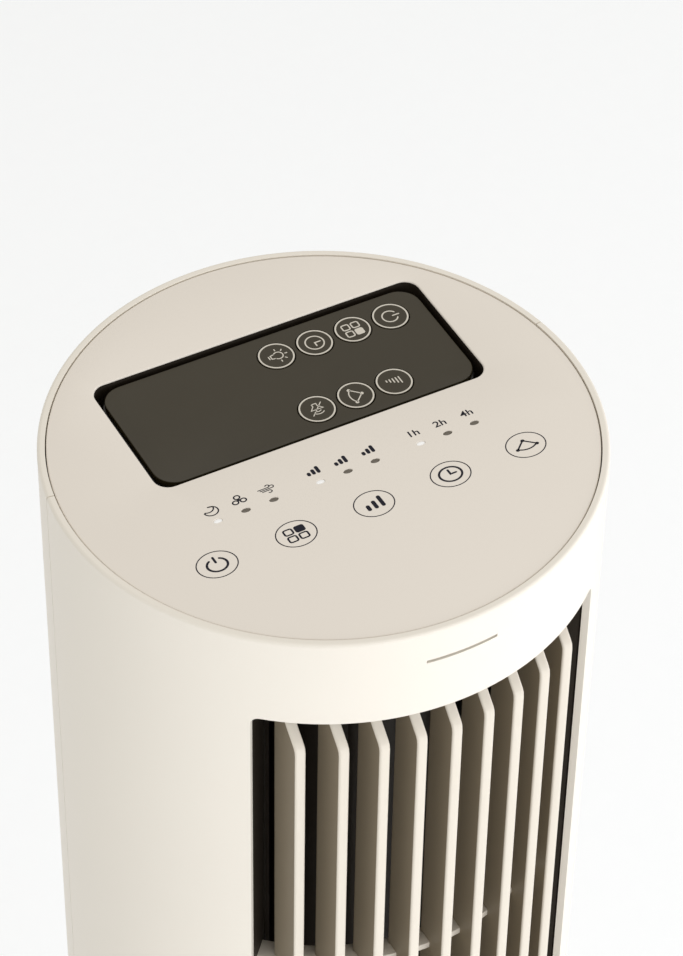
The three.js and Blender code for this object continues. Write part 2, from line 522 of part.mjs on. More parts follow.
// ---------------------------------------------------------------- air duct, impeller and motor
function makeDuct() {
  const ductInner = windowLow - GRILLE_FRAME.height;
  const floorHigh = ductInner + GRILLE_FRAME.below - GAP;
  const floorLow = floorHigh - DUCT_PLATE;
  const capLow = windowTop - GRILLE_FRAME.below + GRILLE_FRAME.height + 2 * GAP;
  const capHigh = capLow + DUCT_PLATE;
  const plateRadius = shellInner - TURNTABLE.edge;
  const centre = IMPELLER.setBack;
  const bushOuter = TOP_PIN.radius + GAP + TOP_PIN.bearing + GAP + TOP_PIN.bush;
  const shaftHole = MOTOR.shaft + 2 * MOTOR.run;

  const disc = (low, high) => post(plateRadius, low, high, 0, 0, 360 / BASE_STEP);
  const round = (radius, low, high, sides = 24) => post(radius, low, high, 0, centre, sides);
  piece("duct_floor", cut(disc(floorLow, floorHigh), round(shaftHole, floorLow - 1, floorHigh + 1)), BLACK);
  piece("duct_cap", cut(disc(capLow, capHigh), round(bushOuter + GAP, capLow - 1, capHigh + 1)), BLACK);

  // The scroll wraps the impeller's left side and opens out towards the outlet.
  const frameInner = shellInner - GAP - GRILLE_FRAME.deep;
  const jamb = polar(frameInner - DUCT_WALL / 2 - 2 * GAP, -WINDOW.halfAngle);
  const endAngle = -THREE.MathUtils.radToDeg(Math.atan2(-jamb[0], centre - jamb[1]));
  const endRadius = Math.hypot(jamb[0], centre - jamb[1]);
  const startRadius = IMPELLER.radius + SCROLL.clearance + DUCT_WALL / 2;
  const spiral = Array.from({ length: SCROLL.steps + 1 }, (_, i) => {
    const along = i / SCROLL.steps;
    const radius = startRadius * (endRadius / startRadius) ** along;
    const [x, y] = polar(radius, SCROLL.start + (endAngle - SCROLL.start) * along);
    return [x, y + centre];
  });
  const wallLow = floorHigh + GAP;
  const wallHigh = capLow - GAP;
  piece("scroll_wall", band(spiral, DUCT_WALL, wallLow, wallHigh), BLACK);

  // The tongue is the sharp turn on the right that keeps the air from going round with the impeller.
  const [tipX, tipY] = polar(IMPELLER.radius + TONGUE.clearance + DUCT_WALL / 2, TONGUE.angle);
  const tip = [tipX, tipY + centre];
  const seal = polar(shellInner - DUCT_WALL, TONGUE.angle + TONGUE.sealTurn);
  piece("tongue_wall", band([[-jamb[0], jamb[1]], tip, seal], DUCT_WALL, wallLow, wallHigh), BLACK);

  const low = floorHigh + IMPELLER.endClearance;
  const high = capLow - IMPELLER.endClearance;
  const bladeOuter = IMPELLER.radius - BLADES.edge;
  const bladeInner = bladeOuter - BLADES.depth;
  const ringInner = bladeInner - 2 * BLADES.edge;
  const bay = (high - low - IMPELLER.disc) / IMPELLER.bays;
  const wheel = [
    round(IMPELLER_HUB.radius, low - IMPELLER_HUB.below, low + IMPELLER_HUB.length),
    round(IMPELLER_HUB.radius, high - IMPELLER_HUB.length, high + IMPELLER_HUB.above),
  ];
  for (let i = 0; i <= IMPELLER.bays; i++) {
    const z = low + i * bay;
    const plate = round(IMPELLER.radius, z, z + IMPELLER.disc, 36);
    const isEnd = i === 0 || i === IMPELLER.bays;
    wheel.push(isEnd ? plate : cut(plate, round(ringInner, z - 1, z + IMPELLER.disc + 1, 36)));
  }
  for (let i = 0; i < BLADES.count; i++) {
    const turn = (360 * i) / BLADES.count;
    const curve = BLADES.leans.map((lean, point) => {
      const [x, y] = polar(bladeInner + (BLADES.depth * point) / (BLADES.leans.length - 1), turn + lean);
      return [x, y + centre];
    });
    wheel.push(band(curve, BLADES.thick, low + IMPELLER.disc / 2, high - IMPELLER.disc / 2));
  }
  const shaftTop = low + IMPELLER_HUB.length - IMPELLER.disc;
  const pinLow = high - TOP_PIN.length;
  const bores = [
    round(MOTOR.shaft + GAP, low - 2 * IMPELLER_HUB.below, shaftTop + GAP),
    round(TOP_PIN.radius + GAP, pinLow - GAP, high + 2 * IMPELLER_HUB.above),
  ];
  piece("impeller", cut(join(...wheel), ...bores), BLACK);

  const motorHigh = floorLow - 2 * GAP - MOTOR_MOUNT.thick;
  const motorLow = motorHigh - MOTOR.height;
  piece("motor_shaft", round(MOTOR.shaft, motorLow + MOTOR.floor + 1, shaftTop), STEEL);
  piece(
    "motor_can",
    cut(
      round(MOTOR.radius, motorLow, motorHigh, 36),
      round(MOTOR.shaft + MOTOR.run, motorLow + MOTOR.floor, motorHigh + 1),
    ),
    STEEL,
  );
  const mountLow = motorHigh + GAP;
  piece(
    "motor_mount",
    cut(
      round(MOTOR_MOUNT.outer, mountLow, mountLow + MOTOR_MOUNT.thick, 40),
      round(MOTOR_MOUNT.inner, mountLow - 1, mountLow + MOTOR_MOUNT.thick + 1),
    ),
    RUBBER,
  );
  const bearingLow = capLow - TOP_PIN.stand;
  const bearingHigh = capHigh + TOP_PIN.stand;
  const bearingOuter = TOP_PIN.radius + GAP + TOP_PIN.bearing;
  const sleeve = (inner, outer) =>
    cut(round(outer, bearingLow, bearingHigh), round(inner, bearingLow - 1, bearingHigh + 1));
  piece("top_pin", round(TOP_PIN.radius, pinLow, bearingHigh + TOP_PIN.stand), STEEL);
  piece("top_bearing", sleeve(TOP_PIN.radius + GAP, bearingOuter), BRONZE);
  piece("bearing_bush", sleeve(bearingOuter + GAP, bushOuter), RUBBER);
}

// ---------------------------------------------------------------- control panel and boards
function makePanel() {
  const radius = shellInner - GAP;
  const trayLength = REMOTE.length + 2 * TRAY.clearance;
  const trayWidth = REMOTE.width + 2 * TRAY.clearance;
  const pocket = (grow) =>
    roundedRectangle(TRAY.x, TRAY.y, trayLength + 2 * grow, trayWidth + 2 * grow, TRAY.corner + grow);
  const rim = radius - PANEL.skirtWall;
  const disc = turned([
    [0, panelUnder],
    [rim, panelUnder],
    [rim, panelUnder - PANEL.skirt],
    [radius, panelUnder - PANEL.skirt],
    [radius, panelTop],
    [0, panelTop],
  ]);
  const holes = [];
  const spread = (count, pitch) => Array.from({ length: count }, (_, i) => (i - (count - 1) / 2) * pitch);
  const groups = spread(LIGHTS.groups, LIGHTS.groupPitch);
  const pins = [-LIGHTS.pitch, 0, LIGHTS.pitch];
  groups.forEach((middle) => pins.forEach((offset) => holes.push(
    post(LIGHTS.radius + LIGHTS.clearance, panelUnder - 1, panelTop + 1, middle + offset, LIGHTS.y, 12),
  )));
  const tray = prism(pocket(TRAY.wall), trayFloor - TRAY.wall, panelUnder + PANEL.thick / 2);
  const hollow = prism(pocket(0), trayFloor, panelTop + 1);
  piece("top_panel", cut(join(disc, tray), hollow, ...holes), PANEL_CREAM);

  const barHigh = panelUnder - GAP;
  const barLow = barHigh - LIGHT_BAR.thick;
  const lightLow = (barLow + barHigh) / 2;
  ["mode", "speed", "timer"].forEach((use, i) => {
    const reach = LIGHTS.pitch + LIGHT_BAR.margin;
    const ends = [LIGHTS.y - LIGHT_BAR.margin, LIGHTS.y + LIGHT_BAR.margin];
    const bar = slab(groups[i] - reach, groups[i] + reach, ...ends, barLow, barHigh);
    const lights = pins.map((offset) =>
      post(LIGHTS.radius, lightLow, panelTop - LIGHTS.sunk, groups[i] + offset, LIGHTS.y, 12));
    piece(`light_guide_${use}`, join(bar, ...lights), CLEAR);
  });

  const boardHigh = panelUnder - TOUCH_BOARD.below;
  const boardBack = TRAY.y - trayWidth / 2 - TRAY.wall - 1;
  const boardHalf = ((KEY_ROW.count - 1) / 2) * KEY_ROW.pitch + TOUCH_BOARD.margin;
  const board = slab(-boardHalf, boardHalf, boardBack - TOUCH_BOARD.depth, boardBack,
    boardHigh - TOUCH_BOARD.thick, boardHigh);
  const pads = spread(KEY_ROW.count, KEY_ROW.pitch).map((x) =>
    post(KEY_ROW.pad, boardHigh - TOUCH_BOARD.thick / 2, panelUnder - GAP, x, KEY_ROW.y, 12));
  piece("touch_board", join(board, ...pads), BOARD);

  const face = shellInner - POWER_BOARD.fromShell;
  const { halfWidth, z, thick, height } = POWER_BOARD;
  const parts = POWER_PARTS.map((part) =>
    slab(part.x, part.x + part.wide, face - part.deep, face + thick / 2, z + part.z, z + part.z + part.tall));
  piece("power_board", join(slab(-halfWidth, halfWidth, face, face + thick, z, z + height), ...parts), BOARD);
}

// ---------------------------------------------------------------- remote control
function makeRemote() {
  const low = trayFloor + GAP;
  const high = low + REMOTE.thick;
  const faceLow = high - FACE.thick;
  const { length, width, corner } = REMOTE;
  const shape = (inset) =>
    roundedRectangle(TRAY.x, TRAY.y, length - 2 * inset, width - 2 * inset, corner - inset / 2);
  const backHigh = faceLow - GAP;
  const floor = low + REMOTE.wall;
  const cellX = TRAY.x - REMOTE.length / 2 + CELL.end;

  piece(
    "remote_back",
    cut(prism(shape(0), low, backHigh), prism(shape(REMOTE.wall), floor, backHigh + 1)),
    BLACK,
  );
  const keySpots = {
    light: [0, 0],
    timer: [1, 0],
    mode: [2, 0],
    power: [3, 0],
    mute: [0, 1],
    swing: [1, 1],
    speed: [2, 1],
  };
  const lastKeyX = TRAY.x + length / 2 - REMOTE_KEY_GRID.fromEnd;
  const place = ([column, row]) => [
    lastKeyX - (REMOTE_KEY_GRID.columns - 1 - column) * REMOTE_KEY_GRID.pitch,
    TRAY.y + REMOTE_KEY_GRID.rows[row],
  ];
  const holes = Object.values(keySpots).map((spot) =>
    post(REMOTE_KEYS.radius + REMOTE_KEYS.clearance, faceLow - 1, high + 1, ...place(spot)));
  piece("remote_face", cut(prism(shape(FACE.inset), faceLow, high), ...holes), DARK);

  // The keypad and board fill the end with the keys, and the coin cell's holder the blank end.
  const boardEnd = cellX + CELL.radius + CELL.holderWall + 2 * GAP;
  const boardRight = TRAY.x + REMOTE.length / 2 - REMOTE.wall - KEYPAD.inset;
  const boardHalf = REMOTE.width / 2 - REMOTE.wall - KEYPAD.inset;
  const sheet = (low, thick) =>
    slab(boardEnd, boardRight, TRAY.y - boardHalf, TRAY.y + boardHalf, low, low + thick);
  const keypadLow = faceLow - REMOTE_KEYS.flangeThick - REMOTE_KEYS.travel - 2 * GAP - KEYPAD.thick;
  const boardLow = keypadLow - GAP - REMOTE_BOARD.thick;
  piece("remote_keypad", sheet(keypadLow, KEYPAD.thick), RUBBER);
  piece("remote_board", sheet(boardLow, REMOTE_BOARD.thick), BOARD);
  for (const [use, spot] of Object.entries(keySpots)) {
    const [x, y] = place(spot);
    const flangeHigh = faceLow - GAP;
    const flangeLow = flangeHigh - REMOTE_KEYS.flangeThick;
    const cap = post(REMOTE_KEYS.radius, (flangeLow + flangeHigh) / 2, high + REMOTE_KEYS.proud, x, y);
    const flange = post(REMOTE_KEYS.radius + REMOTE_KEYS.flange, flangeLow, flangeHigh, x, y);
    piece(`remote_key_${use}`, join(cap, flange), DARK);
  }

  const holderLow = floor + GAP;
  const cellLow = holderLow + CELL.holderFloor + GAP;
  const cellHigh = cellLow + CELL.thick;
  const holderRadius = CELL.radius + GAP + CELL.holderWall;
  piece(
    "battery_holder",
    cut(
      post(holderRadius, holderLow, cellHigh, cellX, TRAY.y, 28),
      post(CELL.radius + GAP, cellLow - GAP, cellHigh + 1, cellX, TRAY.y, 28),
    ),
    BLACK,
  );
  piece("coin_cell", post(CELL.radius, cellLow, cellHigh, cellX, TRAY.y, 28), STEEL);
}

makeBase();
makeTurningDrive();
makeShells();
makeGrille();
makeDuct();
makePanel();
makeRemote();

export default fan;
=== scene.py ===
# %% [markdown]
# # A round tower fan
# The solid parts of the fan come in first. This lesson puts the camera in place, mixes the finishes,
# and then makes the surfaces that show: two curved shells, a louvre, a control panel, a remote, an
# impeller and a base. All lengths are metres.

# %% Load the fan's solid parts
import bpy
import bmesh
import math
from mathutils import Matrix, Vector


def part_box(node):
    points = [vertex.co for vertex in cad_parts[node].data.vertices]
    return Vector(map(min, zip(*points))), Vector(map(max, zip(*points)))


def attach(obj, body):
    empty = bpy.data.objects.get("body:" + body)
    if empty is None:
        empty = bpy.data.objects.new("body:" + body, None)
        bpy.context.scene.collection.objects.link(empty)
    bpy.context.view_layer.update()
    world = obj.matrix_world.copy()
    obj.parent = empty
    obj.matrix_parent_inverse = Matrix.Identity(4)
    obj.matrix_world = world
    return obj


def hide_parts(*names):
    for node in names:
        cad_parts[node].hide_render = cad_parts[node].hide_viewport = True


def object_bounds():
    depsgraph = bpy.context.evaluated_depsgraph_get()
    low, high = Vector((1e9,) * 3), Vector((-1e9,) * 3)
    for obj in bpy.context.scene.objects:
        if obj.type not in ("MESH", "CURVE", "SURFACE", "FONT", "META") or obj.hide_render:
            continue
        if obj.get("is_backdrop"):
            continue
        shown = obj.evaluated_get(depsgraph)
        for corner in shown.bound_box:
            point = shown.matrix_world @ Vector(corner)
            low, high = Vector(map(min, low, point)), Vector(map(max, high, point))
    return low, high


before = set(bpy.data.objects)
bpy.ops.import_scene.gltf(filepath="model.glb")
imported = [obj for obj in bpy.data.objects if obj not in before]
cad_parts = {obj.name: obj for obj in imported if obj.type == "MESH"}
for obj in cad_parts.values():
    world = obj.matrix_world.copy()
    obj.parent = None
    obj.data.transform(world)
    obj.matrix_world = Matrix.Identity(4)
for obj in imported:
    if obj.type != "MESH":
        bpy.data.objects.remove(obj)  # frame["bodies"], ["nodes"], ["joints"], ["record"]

CAD_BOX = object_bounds()
MM = 0.001
column_low, column_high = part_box("front_shell")
column_radius = -column_low.y
# The solids' own materials step aside, so that the finishes can have the plain names.
slot_of = {name: part.material_slots[0].material.name for name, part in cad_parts.items()}
for material in bpy.data.materials:
    material.name = f"solid_{material.name}"
print(f"column radius {column_radius / MM:.1f} mm, top at {column_high.z / MM:.1f} mm")

# %% [markdown]
# ## Camera
# The fan is seen from above and to its left, through a long lens, so its sides hardly converge. The
# camera is placed by an angle round the column and an angle above it, both taken from the middle of
# the top. Three small turns then aim it, because the top doesn't sit in the middle of the frame. A
# Track To constraint would be simpler, but it can't roll the camera.

# %% Place the camera
FROM_FRONT = math.radians(28.502)  # how far round to the fan's left
ABOVE = math.radians(43.67)
DISTANCE = 12.874 * column_radius
LENS = 138.95
AIM_YAW = math.radians(-0.2817)
AIM_PITCH = math.radians(-0.6357)
AIM_ROLL = math.radians(-0.7558)

scene = bpy.context.scene


def add_object(name, data):
    thing = bpy.data.objects.new(name, data)
    scene.collection.objects.link(thing)
    return thing


top_middle = Vector((0, 0, column_high.z))
backward = Vector((
    -math.sin(FROM_FRONT) * math.cos(ABOVE),
    -math.cos(FROM_FRONT) * math.cos(ABOVE),
    math.sin(ABOVE),
))
forward = -backward
right = forward.cross(Vector((0, 0, 1))).normalized()
up = right.cross(forward)
yaw = Matrix.Rotation(AIM_YAW, 3, up)
forward, right = yaw @ forward, yaw @ right
pitch = Matrix.Rotation(AIM_PITCH, 3, right)
forward, up = pitch @ forward, pitch @ up
roll = Matrix.Rotation(AIM_ROLL, 3, forward)
right, up = roll @ right, roll @ up

lens = bpy.data.cameras.new("camera")
lens.lens = LENS
lens.clip_start = 0.01
lens.clip_end = 50
camera = add_object("camera", lens)
axes = Matrix((right, up, -forward)).transposed().to_4x4()
camera.matrix_world = Matrix.Translation(top_middle + backward * DISTANCE) @ axes
scene.camera = camera
print("camera at", [round(value, 3) for value in camera.matrix_world.translation])

# %% [markdown]
# ## Light and floor
# A pale fan on a white ground needs light from nearly everywhere, or its dark side goes grey. Two
# wide soft lights stand at the front and at the right and give the form, and a third hangs above the
# panel. The sky fills the rest, and the pale floor throws light back up.

# %% Light the studio
scene.view_settings.view_transform = "Standard"


def softbox(name, place, target, width, height, watts, colour):
    light = bpy.data.lights.new(name, "AREA")
    light.shape = "RECTANGLE"
    light.size = width
    light.size_y = height
    light.energy = watts
    light.color = colour
    stand = add_object(name, light)
    stand.location = place
    stand.rotation_euler = (Vector(target) - Vector(place)).to_track_quat("-Z", "Y").to_euler()


COOL_WHITE = (0.98, 1, 1.05)
softbox("front", (0.35, -2.8, 1.2), (0, 0, 0.7), 1.6, 1.8, 31, COOL_WHITE)
softbox("side", (2.7, -0.9, 1.2), (0, 0, 0.7), 1.6, 1.8, 21, COOL_WHITE)
softbox("overhead", (0.2, 0.3, 3.0), (0, 0, 0.9), 2.0, 2.0, 8, (1, 1, 1))
sky = bpy.data.worlds.new("sky")
sky.use_nodes = True
background = sky.node_tree.nodes["Background"]
background.inputs["Color"].default_value = (1, 0.972, 0.918, 1)
background.inputs["Strength"].default_value = 0.64
scene.world = sky
print("three soft lights and a bright sky")

# %% [markdown]
# ## Wires that add and multiply
# A finish is a network of small nodes. Wiring them by hand hides the sum that they work out, so one
# small class holds an output and turns `a + b` or `1 - a` into Math nodes. A second class owns the
# tree, and its one method `node` adds any other node. The same two serve materials and geometry.

# %% Write node trees as sums
class Wire:
    def __init__(self, owner, socket):
        self.owner = owner
        self.socket = socket

    def sum(self, operation, *values):
        return self.owner.sum(operation, *values)

    def __add__(self, other):
        return self.sum("ADD", self, other)

    def __radd__(self, other):
        return self.sum("ADD", other, self)

    def __sub__(self, other):
        return self.sum("SUBTRACT", self, other)

    def __rsub__(self, other):
        return self.sum("SUBTRACT", other, self)

    def __mul__(self, other):
        return self.sum("MULTIPLY", self, other)

    def __rmul__(self, other):
        return self.sum("MULTIPLY", other, self)

    def __truediv__(self, other):
        return self.sum("DIVIDE", self, other)

    def __neg__(self):
        return self.sum("MULTIPLY", self, -1)

    def __lt__(self, other):
        return self.sum("LESS_THAN", self, other)

    def __gt__(self, other):
        return self.sum("GREATER_THAN", self, other)

    def absolute(self):
        return self.sum("ABSOLUTE", self)

    def root(self):
        return self.sum("SQRT", self)

    def sine(self):
        return self.sum("SINE", self)

    def cosine(self):
        return self.sum("COSINE", self)

    def at_least(self, other):
        return self.sum("MAXIMUM", self, other)


class Tree:
    def __init__(self, tree):
        self.tree = tree

    def plug(self, socket, value):
        if isinstance(value, Wire):
            self.tree.links.new(value.socket, socket)
        else:
            socket.default_value = value

    def sum(self, operation, *values):
        return self.node("ShaderNodeMath", {"operation": operation}, dict(enumerate(values)))

    def node(self, kind, settings=None, inputs=None, output=0):
        node = self.tree.nodes.new(kind)
        for name, value in (settings or {}).items():
            setattr(node, name, value)
        for name, value in (inputs or {}).items():
            self.plug(node.inputs[name], value)
        return Wire(self, node.outputs[output])


# %% [markdown]
# ## Moulded plastic
# The housing is moulded ABS. Its mould is spark eroded, so the skin is an even, very fine grain that
# breaks up reflections, and the colour drifts a little where the melt cooled. Noise on object
# coordinates makes both, at a scale of tenths of a millimetre for the grain and tens of millimetres
# for the drift, and a Bump node lifts the grain. An image would need unwrapping and would tile.

# %% Mix the plastics
class Finish(Tree):
    def __init__(self, name, **constants):
        self.material = bpy.data.materials.new(name)
        self.material.use_nodes = True
        super().__init__(self.material.node_tree)
        self.shader = self.tree.nodes["Principled BSDF"]
        for socket, value in constants.items():
            self.shader.inputs[socket.replace("_", " ")].default_value = value
        self.place = self.node("ShaderNodeTexCoord", output="Object")

    def noise(self, scale, detail=2, stretch=None):
        place = self.place
        if stretch:
            place = self.node("ShaderNodeMapping", {}, {"Vector": place, "Scale": stretch})
        return self.node(
            "ShaderNodeTexNoise", {}, {"Vector": place, "Scale": scale, "Detail": detail}, "Fac")

    def blend(self, factor, first, second):
        return self.node(
            "ShaderNodeMix", {"data_type": "RGBA"}, {0: factor, 6: first, 7: second}, 2)

    def colour(self, value):
        self.plug(self.shader.inputs["Base Color"], value)

    def rough(self, value):
        self.plug(self.shader.inputs["Roughness"], value)

    def metal(self, value):
        self.plug(self.shader.inputs["Metallic"], value)

    def bump(self, height, distance, strength=1.0):
        normal = self.node(
            "ShaderNodeBump", {}, {"Height": height, "Distance": distance, "Strength": strength})
        self.plug(self.shader.inputs["Normal"], normal)


def tint(colour, factor):
    return (*(min(1, channel * factor) for channel in colour[:3]), 1)


def moulded(name, colour, rough, grain=2600, depth=0.012, drift=0.03):
    finish = Finish(name, Specular_IOR_Level=0.45)
    slow = finish.noise(14, 3)
    fine = finish.noise(grain, 3)
    cloud = slow * 0.7 + fine * 0.3
    finish.colour(finish.blend(cloud, tint(colour, 1 - drift), tint(colour, 1 + drift)))
    finish.rough(rough + (fine - 0.5) * 0.12 + (slow - 0.5) * 0.05)
    finish.bump(fine, depth * MM, 0.6)
    return finish.material


cream = moulded("cream_plastic", (0.875, 0.827, 0.745, 1), 0.46)
panel_cream = moulded("panel_plastic", (0.845, 0.788, 0.715, 1), 0.55, grain=3400, depth=0.009)
vane_cream = moulded("vane_front", (0.765, 0.705, 0.610, 1), 0.40)
# The vanes' sides get a dark brown that is painted shade: the cream plastic in the shadow between the vanes.
vane_painted_shade = moulded("vane_side", (0.275, 0.228, 0.162, 1), 0.42, drift=0.06)
black = moulded("black_plastic", (0.013, 0.008, 0.003, 1), 0.55, grain=1800, depth=0.02, drift=0.25)
acetal = moulded("acetal", (0.80, 0.78, 0.72, 1), 0.35, grain=900, depth=0.008)
plastics = (cream, panel_cream, vane_cream, vane_painted_shade, black, acetal)
print("plastics:", *(plastic.name for plastic in plastics))

# %% [markdown]
# ## Film, print, rubber and lamps
# The remote has a dark satin film over its face. The marks are screen printed, so the ink is matt and
# not quite even. The feet are rubber, which is dull and slightly mottled. The lamp that is on glows,
# and the lamps that are off are smoky lenses. Each is a short tree of its own.

# %% Mix the film, inks, rubber and lamps
def satin_film(name, colour, rough):
    finish = Finish(name, Specular_IOR_Level=0.5)
    dust = finish.noise(420, 4)
    cloud = finish.noise(36, 3)
    finish.colour(finish.blend(cloud * 0.8 + dust * 0.2, tint(colour, 0.88), tint(colour, 1.12)))
    finish.rough(rough + (dust - 0.5) * 0.10 + (cloud - 0.5) * 0.06)
    finish.bump(finish.noise(5200, 2), 0.003 * MM, 0.5)
    return finish.material


def ink(name, colour, rough):
    finish = Finish(name, Specular_IOR_Level=0.15)
    cover = finish.noise(1500, 2)
    finish.colour(finish.blend(cover, tint(colour, 0.90), tint(colour, 1.10)))
    finish.rough(rough + (cover - 0.5) * 0.2)
    return finish.material


def rubber_finish(name, colour):
    finish = Finish(name, Specular_IOR_Level=0.3)
    mottle = finish.noise(160, 4)
    pores = finish.noise(2200, 3)
    finish.colour(finish.blend(mottle, tint(colour, 0.8), tint(colour, 1.25)))
    finish.rough(0.82 + (mottle - 0.5) * 0.14)
    finish.bump(pores, 0.03 * MM, 0.7)
    return finish.material


def lamp(name, colour, glow):
    finish = Finish(name, Emission_Strength=glow, Coat_Weight=0.3)
    grain = finish.noise(900, 2)
    finish.colour(finish.blend(grain, tint(colour, 0.94), tint(colour, 1.06)))
    finish.rough(0.30 + (grain - 0.5) * 0.1)
    if glow:
        glow_colour = finish.blend(grain, (1, 1, 0.98, 1), (1, 1, 1, 1))
        finish.plug(finish.shader.inputs["Emission Color"], glow_colour)
    return finish.material


film = satin_film("dark_gloss", (0.034, 0.026, 0.011, 1), 0.34)
edge_film = satin_film("film_edge", (0.010, 0.009, 0.008, 1), 0.22)
dark_ink = ink("dark_ink", (0.012, 0.012, 0.022, 1), 0.5)
light_ink = ink("light_ink", (0.70, 0.66, 0.58, 1), 0.5)
rubber = rubber_finish("rubber", (0.030, 0.028, 0.026, 1))
lamp_on = lamp("light_guide_on", (0.90, 0.90, 0.90, 1), 0.12)
lamp_off = lamp("light_guide_off", (0.125, 0.105, 0.080, 1), 0)
print("film, inks, rubber and lamps mixed")

# %% [markdown]
# ## Metals and circuit board
# Turned and pressed steel carries fine lines, so its noise is stretched along one way. Sintered bronze
# is porous and a little patchy. A circuit board is green lacquer over copper tracks: a grid of lines
# whose cells are switched on and off by noise reads as tracks without a drawing.

# %% Mix the metals and the board
def drawn_metal(name, colour, rough, stretch):
    finish = Finish(name)
    lines = finish.noise(240, 4, stretch)
    stain = finish.noise(30, 3)
    finish.colour(finish.blend(stain * 0.5 + lines * 0.5, tint(colour, 0.86), tint(colour, 1.08)))
    finish.rough(rough + (lines - 0.5) * 0.22)
    finish.metal(1 - stain * 0.06)
    finish.bump(lines, 0.01 * MM, 0.4)
    return finish.material


def circuit_board(name):
    finish = Finish(name, Coat_Weight=0.25)
    cell = (1.6 * MM,) * 3
    steps = finish.node("ShaderNodeVectorMath", {"operation": "SNAP"}, {0: finish.place, 1: cell})
    cells = finish.node("ShaderNodeTexWhiteNoise", {}, {"Vector": steps}, "Value")
    tracks = cells > 0.62
    lacquer = finish.blend(finish.noise(60, 3), (0.018, 0.075, 0.034, 1), (0.030, 0.115, 0.050, 1))
    finish.colour(finish.blend(tracks, lacquer, (0.060, 0.190, 0.080, 1)))
    finish.rough(0.42 - tracks * 0.1)
    finish.bump(tracks, 0.03 * MM, 0.5)
    return finish.material


steel = drawn_metal("steel", (0.60, 0.60, 0.59, 1), 0.34, (1, 1, 9))
bronze = drawn_metal("bronze", (0.52, 0.36, 0.18, 1), 0.42, (1, 1, 1))
board = circuit_board("circuit_board")
print("metals:", steel.name, bronze.name, "and", board.name)

# %% [markdown]
# ## Finishes for the inner pieces
# The pieces inside the column and under the base keep the solid shapes that they came with. Each gets
# its finish from the slot that the record names for it, by changing the material in the slot of its
# object, so a shape that is right isn't made twice.

# %% Give the solid parts their finishes
finish_of_slot = {
    "cream_plastic": cream,
    "panel_plastic": panel_cream,
    "dark_gloss": film,
    "black_plastic": black,
    "rubber": rubber,
    "steel": steel,
    "bronze": bronze,
    "acetal": acetal,
    "circuit_board": board,
    "light_guide": lamp_off,
}
for name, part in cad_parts.items():
    part.data.materials.clear()
    part.data.materials.append(finish_of_slot[slot_of[name].split(".")[0]])
print(len(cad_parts), "parts have a finish")

# %% [markdown]
# ## A form built loop by loop
# Most moulded pieces are outlines stacked at different heights: a disc, a tray, a key. A small class
# keeps one mesh while it grows. `loop` sets an outline at a height, `loft` joins outlines with quads,
# and `fill` closes one or more outlines with flat faces, with holes where an outline lies inside
# another. `solid` does both for a plain closed piece. Booleans would do it too, but they leave slivers
# that spoil a rounded edge. `quarter` gives the points of a round from its top down to its side.

# %% Define the form
class Form:
    def __init__(self):
        self.mesh = bmesh.new()

    def loop(self, outline, height):
        return [self.mesh.verts.new((x, y, height)) for x, y in outline]

    def loft(self, *loops, finish=0):
        for lower, upper in zip(loops, loops[1:]):
            count = len(lower)
            for i in range(count):
                j = (i + 1) % count
                face = self.mesh.faces.new((lower[i], lower[j], upper[j], upper[i]))
                face.material_index = finish

    def fill(self, *loops, finish=0):
        edges = []
        for loop in loops:
            for i, vertex in enumerate(loop):
                after = loop[(i + 1) % len(loop)]
                edge = self.mesh.edges.get((vertex, after)) or self.mesh.edges.new((vertex, after))
                edges.append(edge)
        filled = bmesh.ops.triangle_fill(self.mesh, edges=edges, use_beauty=True)
        for face in filled["geom"]:
            if isinstance(face, bmesh.types.BMFace):
                face.material_index = finish

    def solid(self, *loops):
        self.loft(*loops)
        self.fill(loops[0])
        self.fill(loops[-1])

    def data(self, name, *materials, sharp=30):
        bmesh.ops.recalc_face_normals(self.mesh, faces=self.mesh.faces)
        mesh = bpy.data.meshes.new(name)
        self.mesh.to_mesh(mesh)
        self.mesh.free()
        mesh.shade_smooth()
        mesh.set_sharp_from_angle(angle=math.radians(sharp))
        for material in materials:
            mesh.materials.append(material)
        return mesh


def show(name, mesh, body, slot, *replaced):
    piece = add_object(name, mesh)
    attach(piece, body)
    if replaced:
        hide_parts(*replaced)
    print(f"{name}: {len(mesh.polygons)} faces")
    return piece


def circle(x, y, radius, sides=96):
    turns = [2 * math.pi * i / sides for i in range(sides)]
    return [(x + radius * math.cos(turn), y + radius * math.sin(turn)) for turn in turns]


def rounded(x, y, length, width, corner, grow=0.0, steps=10):
    points = []
    for quarter, (sx, sy) in enumerate(((1, 1), (-1, 1), (-1, -1), (1, -1))):
        for i in range(steps + 1):
            turn = (quarter + i / steps) * math.pi / 2
            points.append((
                x + sx * (length / 2 - corner) + (corner + grow) * math.cos(turn),
                y + sy * (width / 2 - corner) + (corner + grow) * math.sin(turn),
            ))
    return points


def quarter(radius, steps):
    turns = [math.pi / 2 * i / steps for i in range(steps + 1)]
    return [(radius * (1 - math.sin(turn)), radius * (1 - math.cos(turn))) for turn in turns]


# %% [markdown]
# ## A recipe of geometry nodes
# What repeats is made by rule: vanes, air slots, blades, feet, screws, rings and lamps. A recipe is a
# Geometry Nodes tree with named inputs, built here in the script. It takes the mesh that repeats, and
# its sizes are set on the modifier before anything is worked out. It always ends by making instances
# real and setting their material, and the result is kept as a plain mesh.

# %% Define the recipe
SOCKETS = {"float": "NodeSocketFloat", "count": "NodeSocketInt", "vector": "NodeSocketVector"}


def plain_mesh(name, carrier):
    """The mesh that an object shows once its modifiers are worked out. The object goes."""
    bpy.context.view_layer.update()
    seen = carrier.evaluated_get(bpy.context.evaluated_depsgraph_get())
    mesh = bpy.data.meshes.new_from_object(seen)
    mesh.name = name
    bpy.data.objects.remove(carrier)
    return mesh


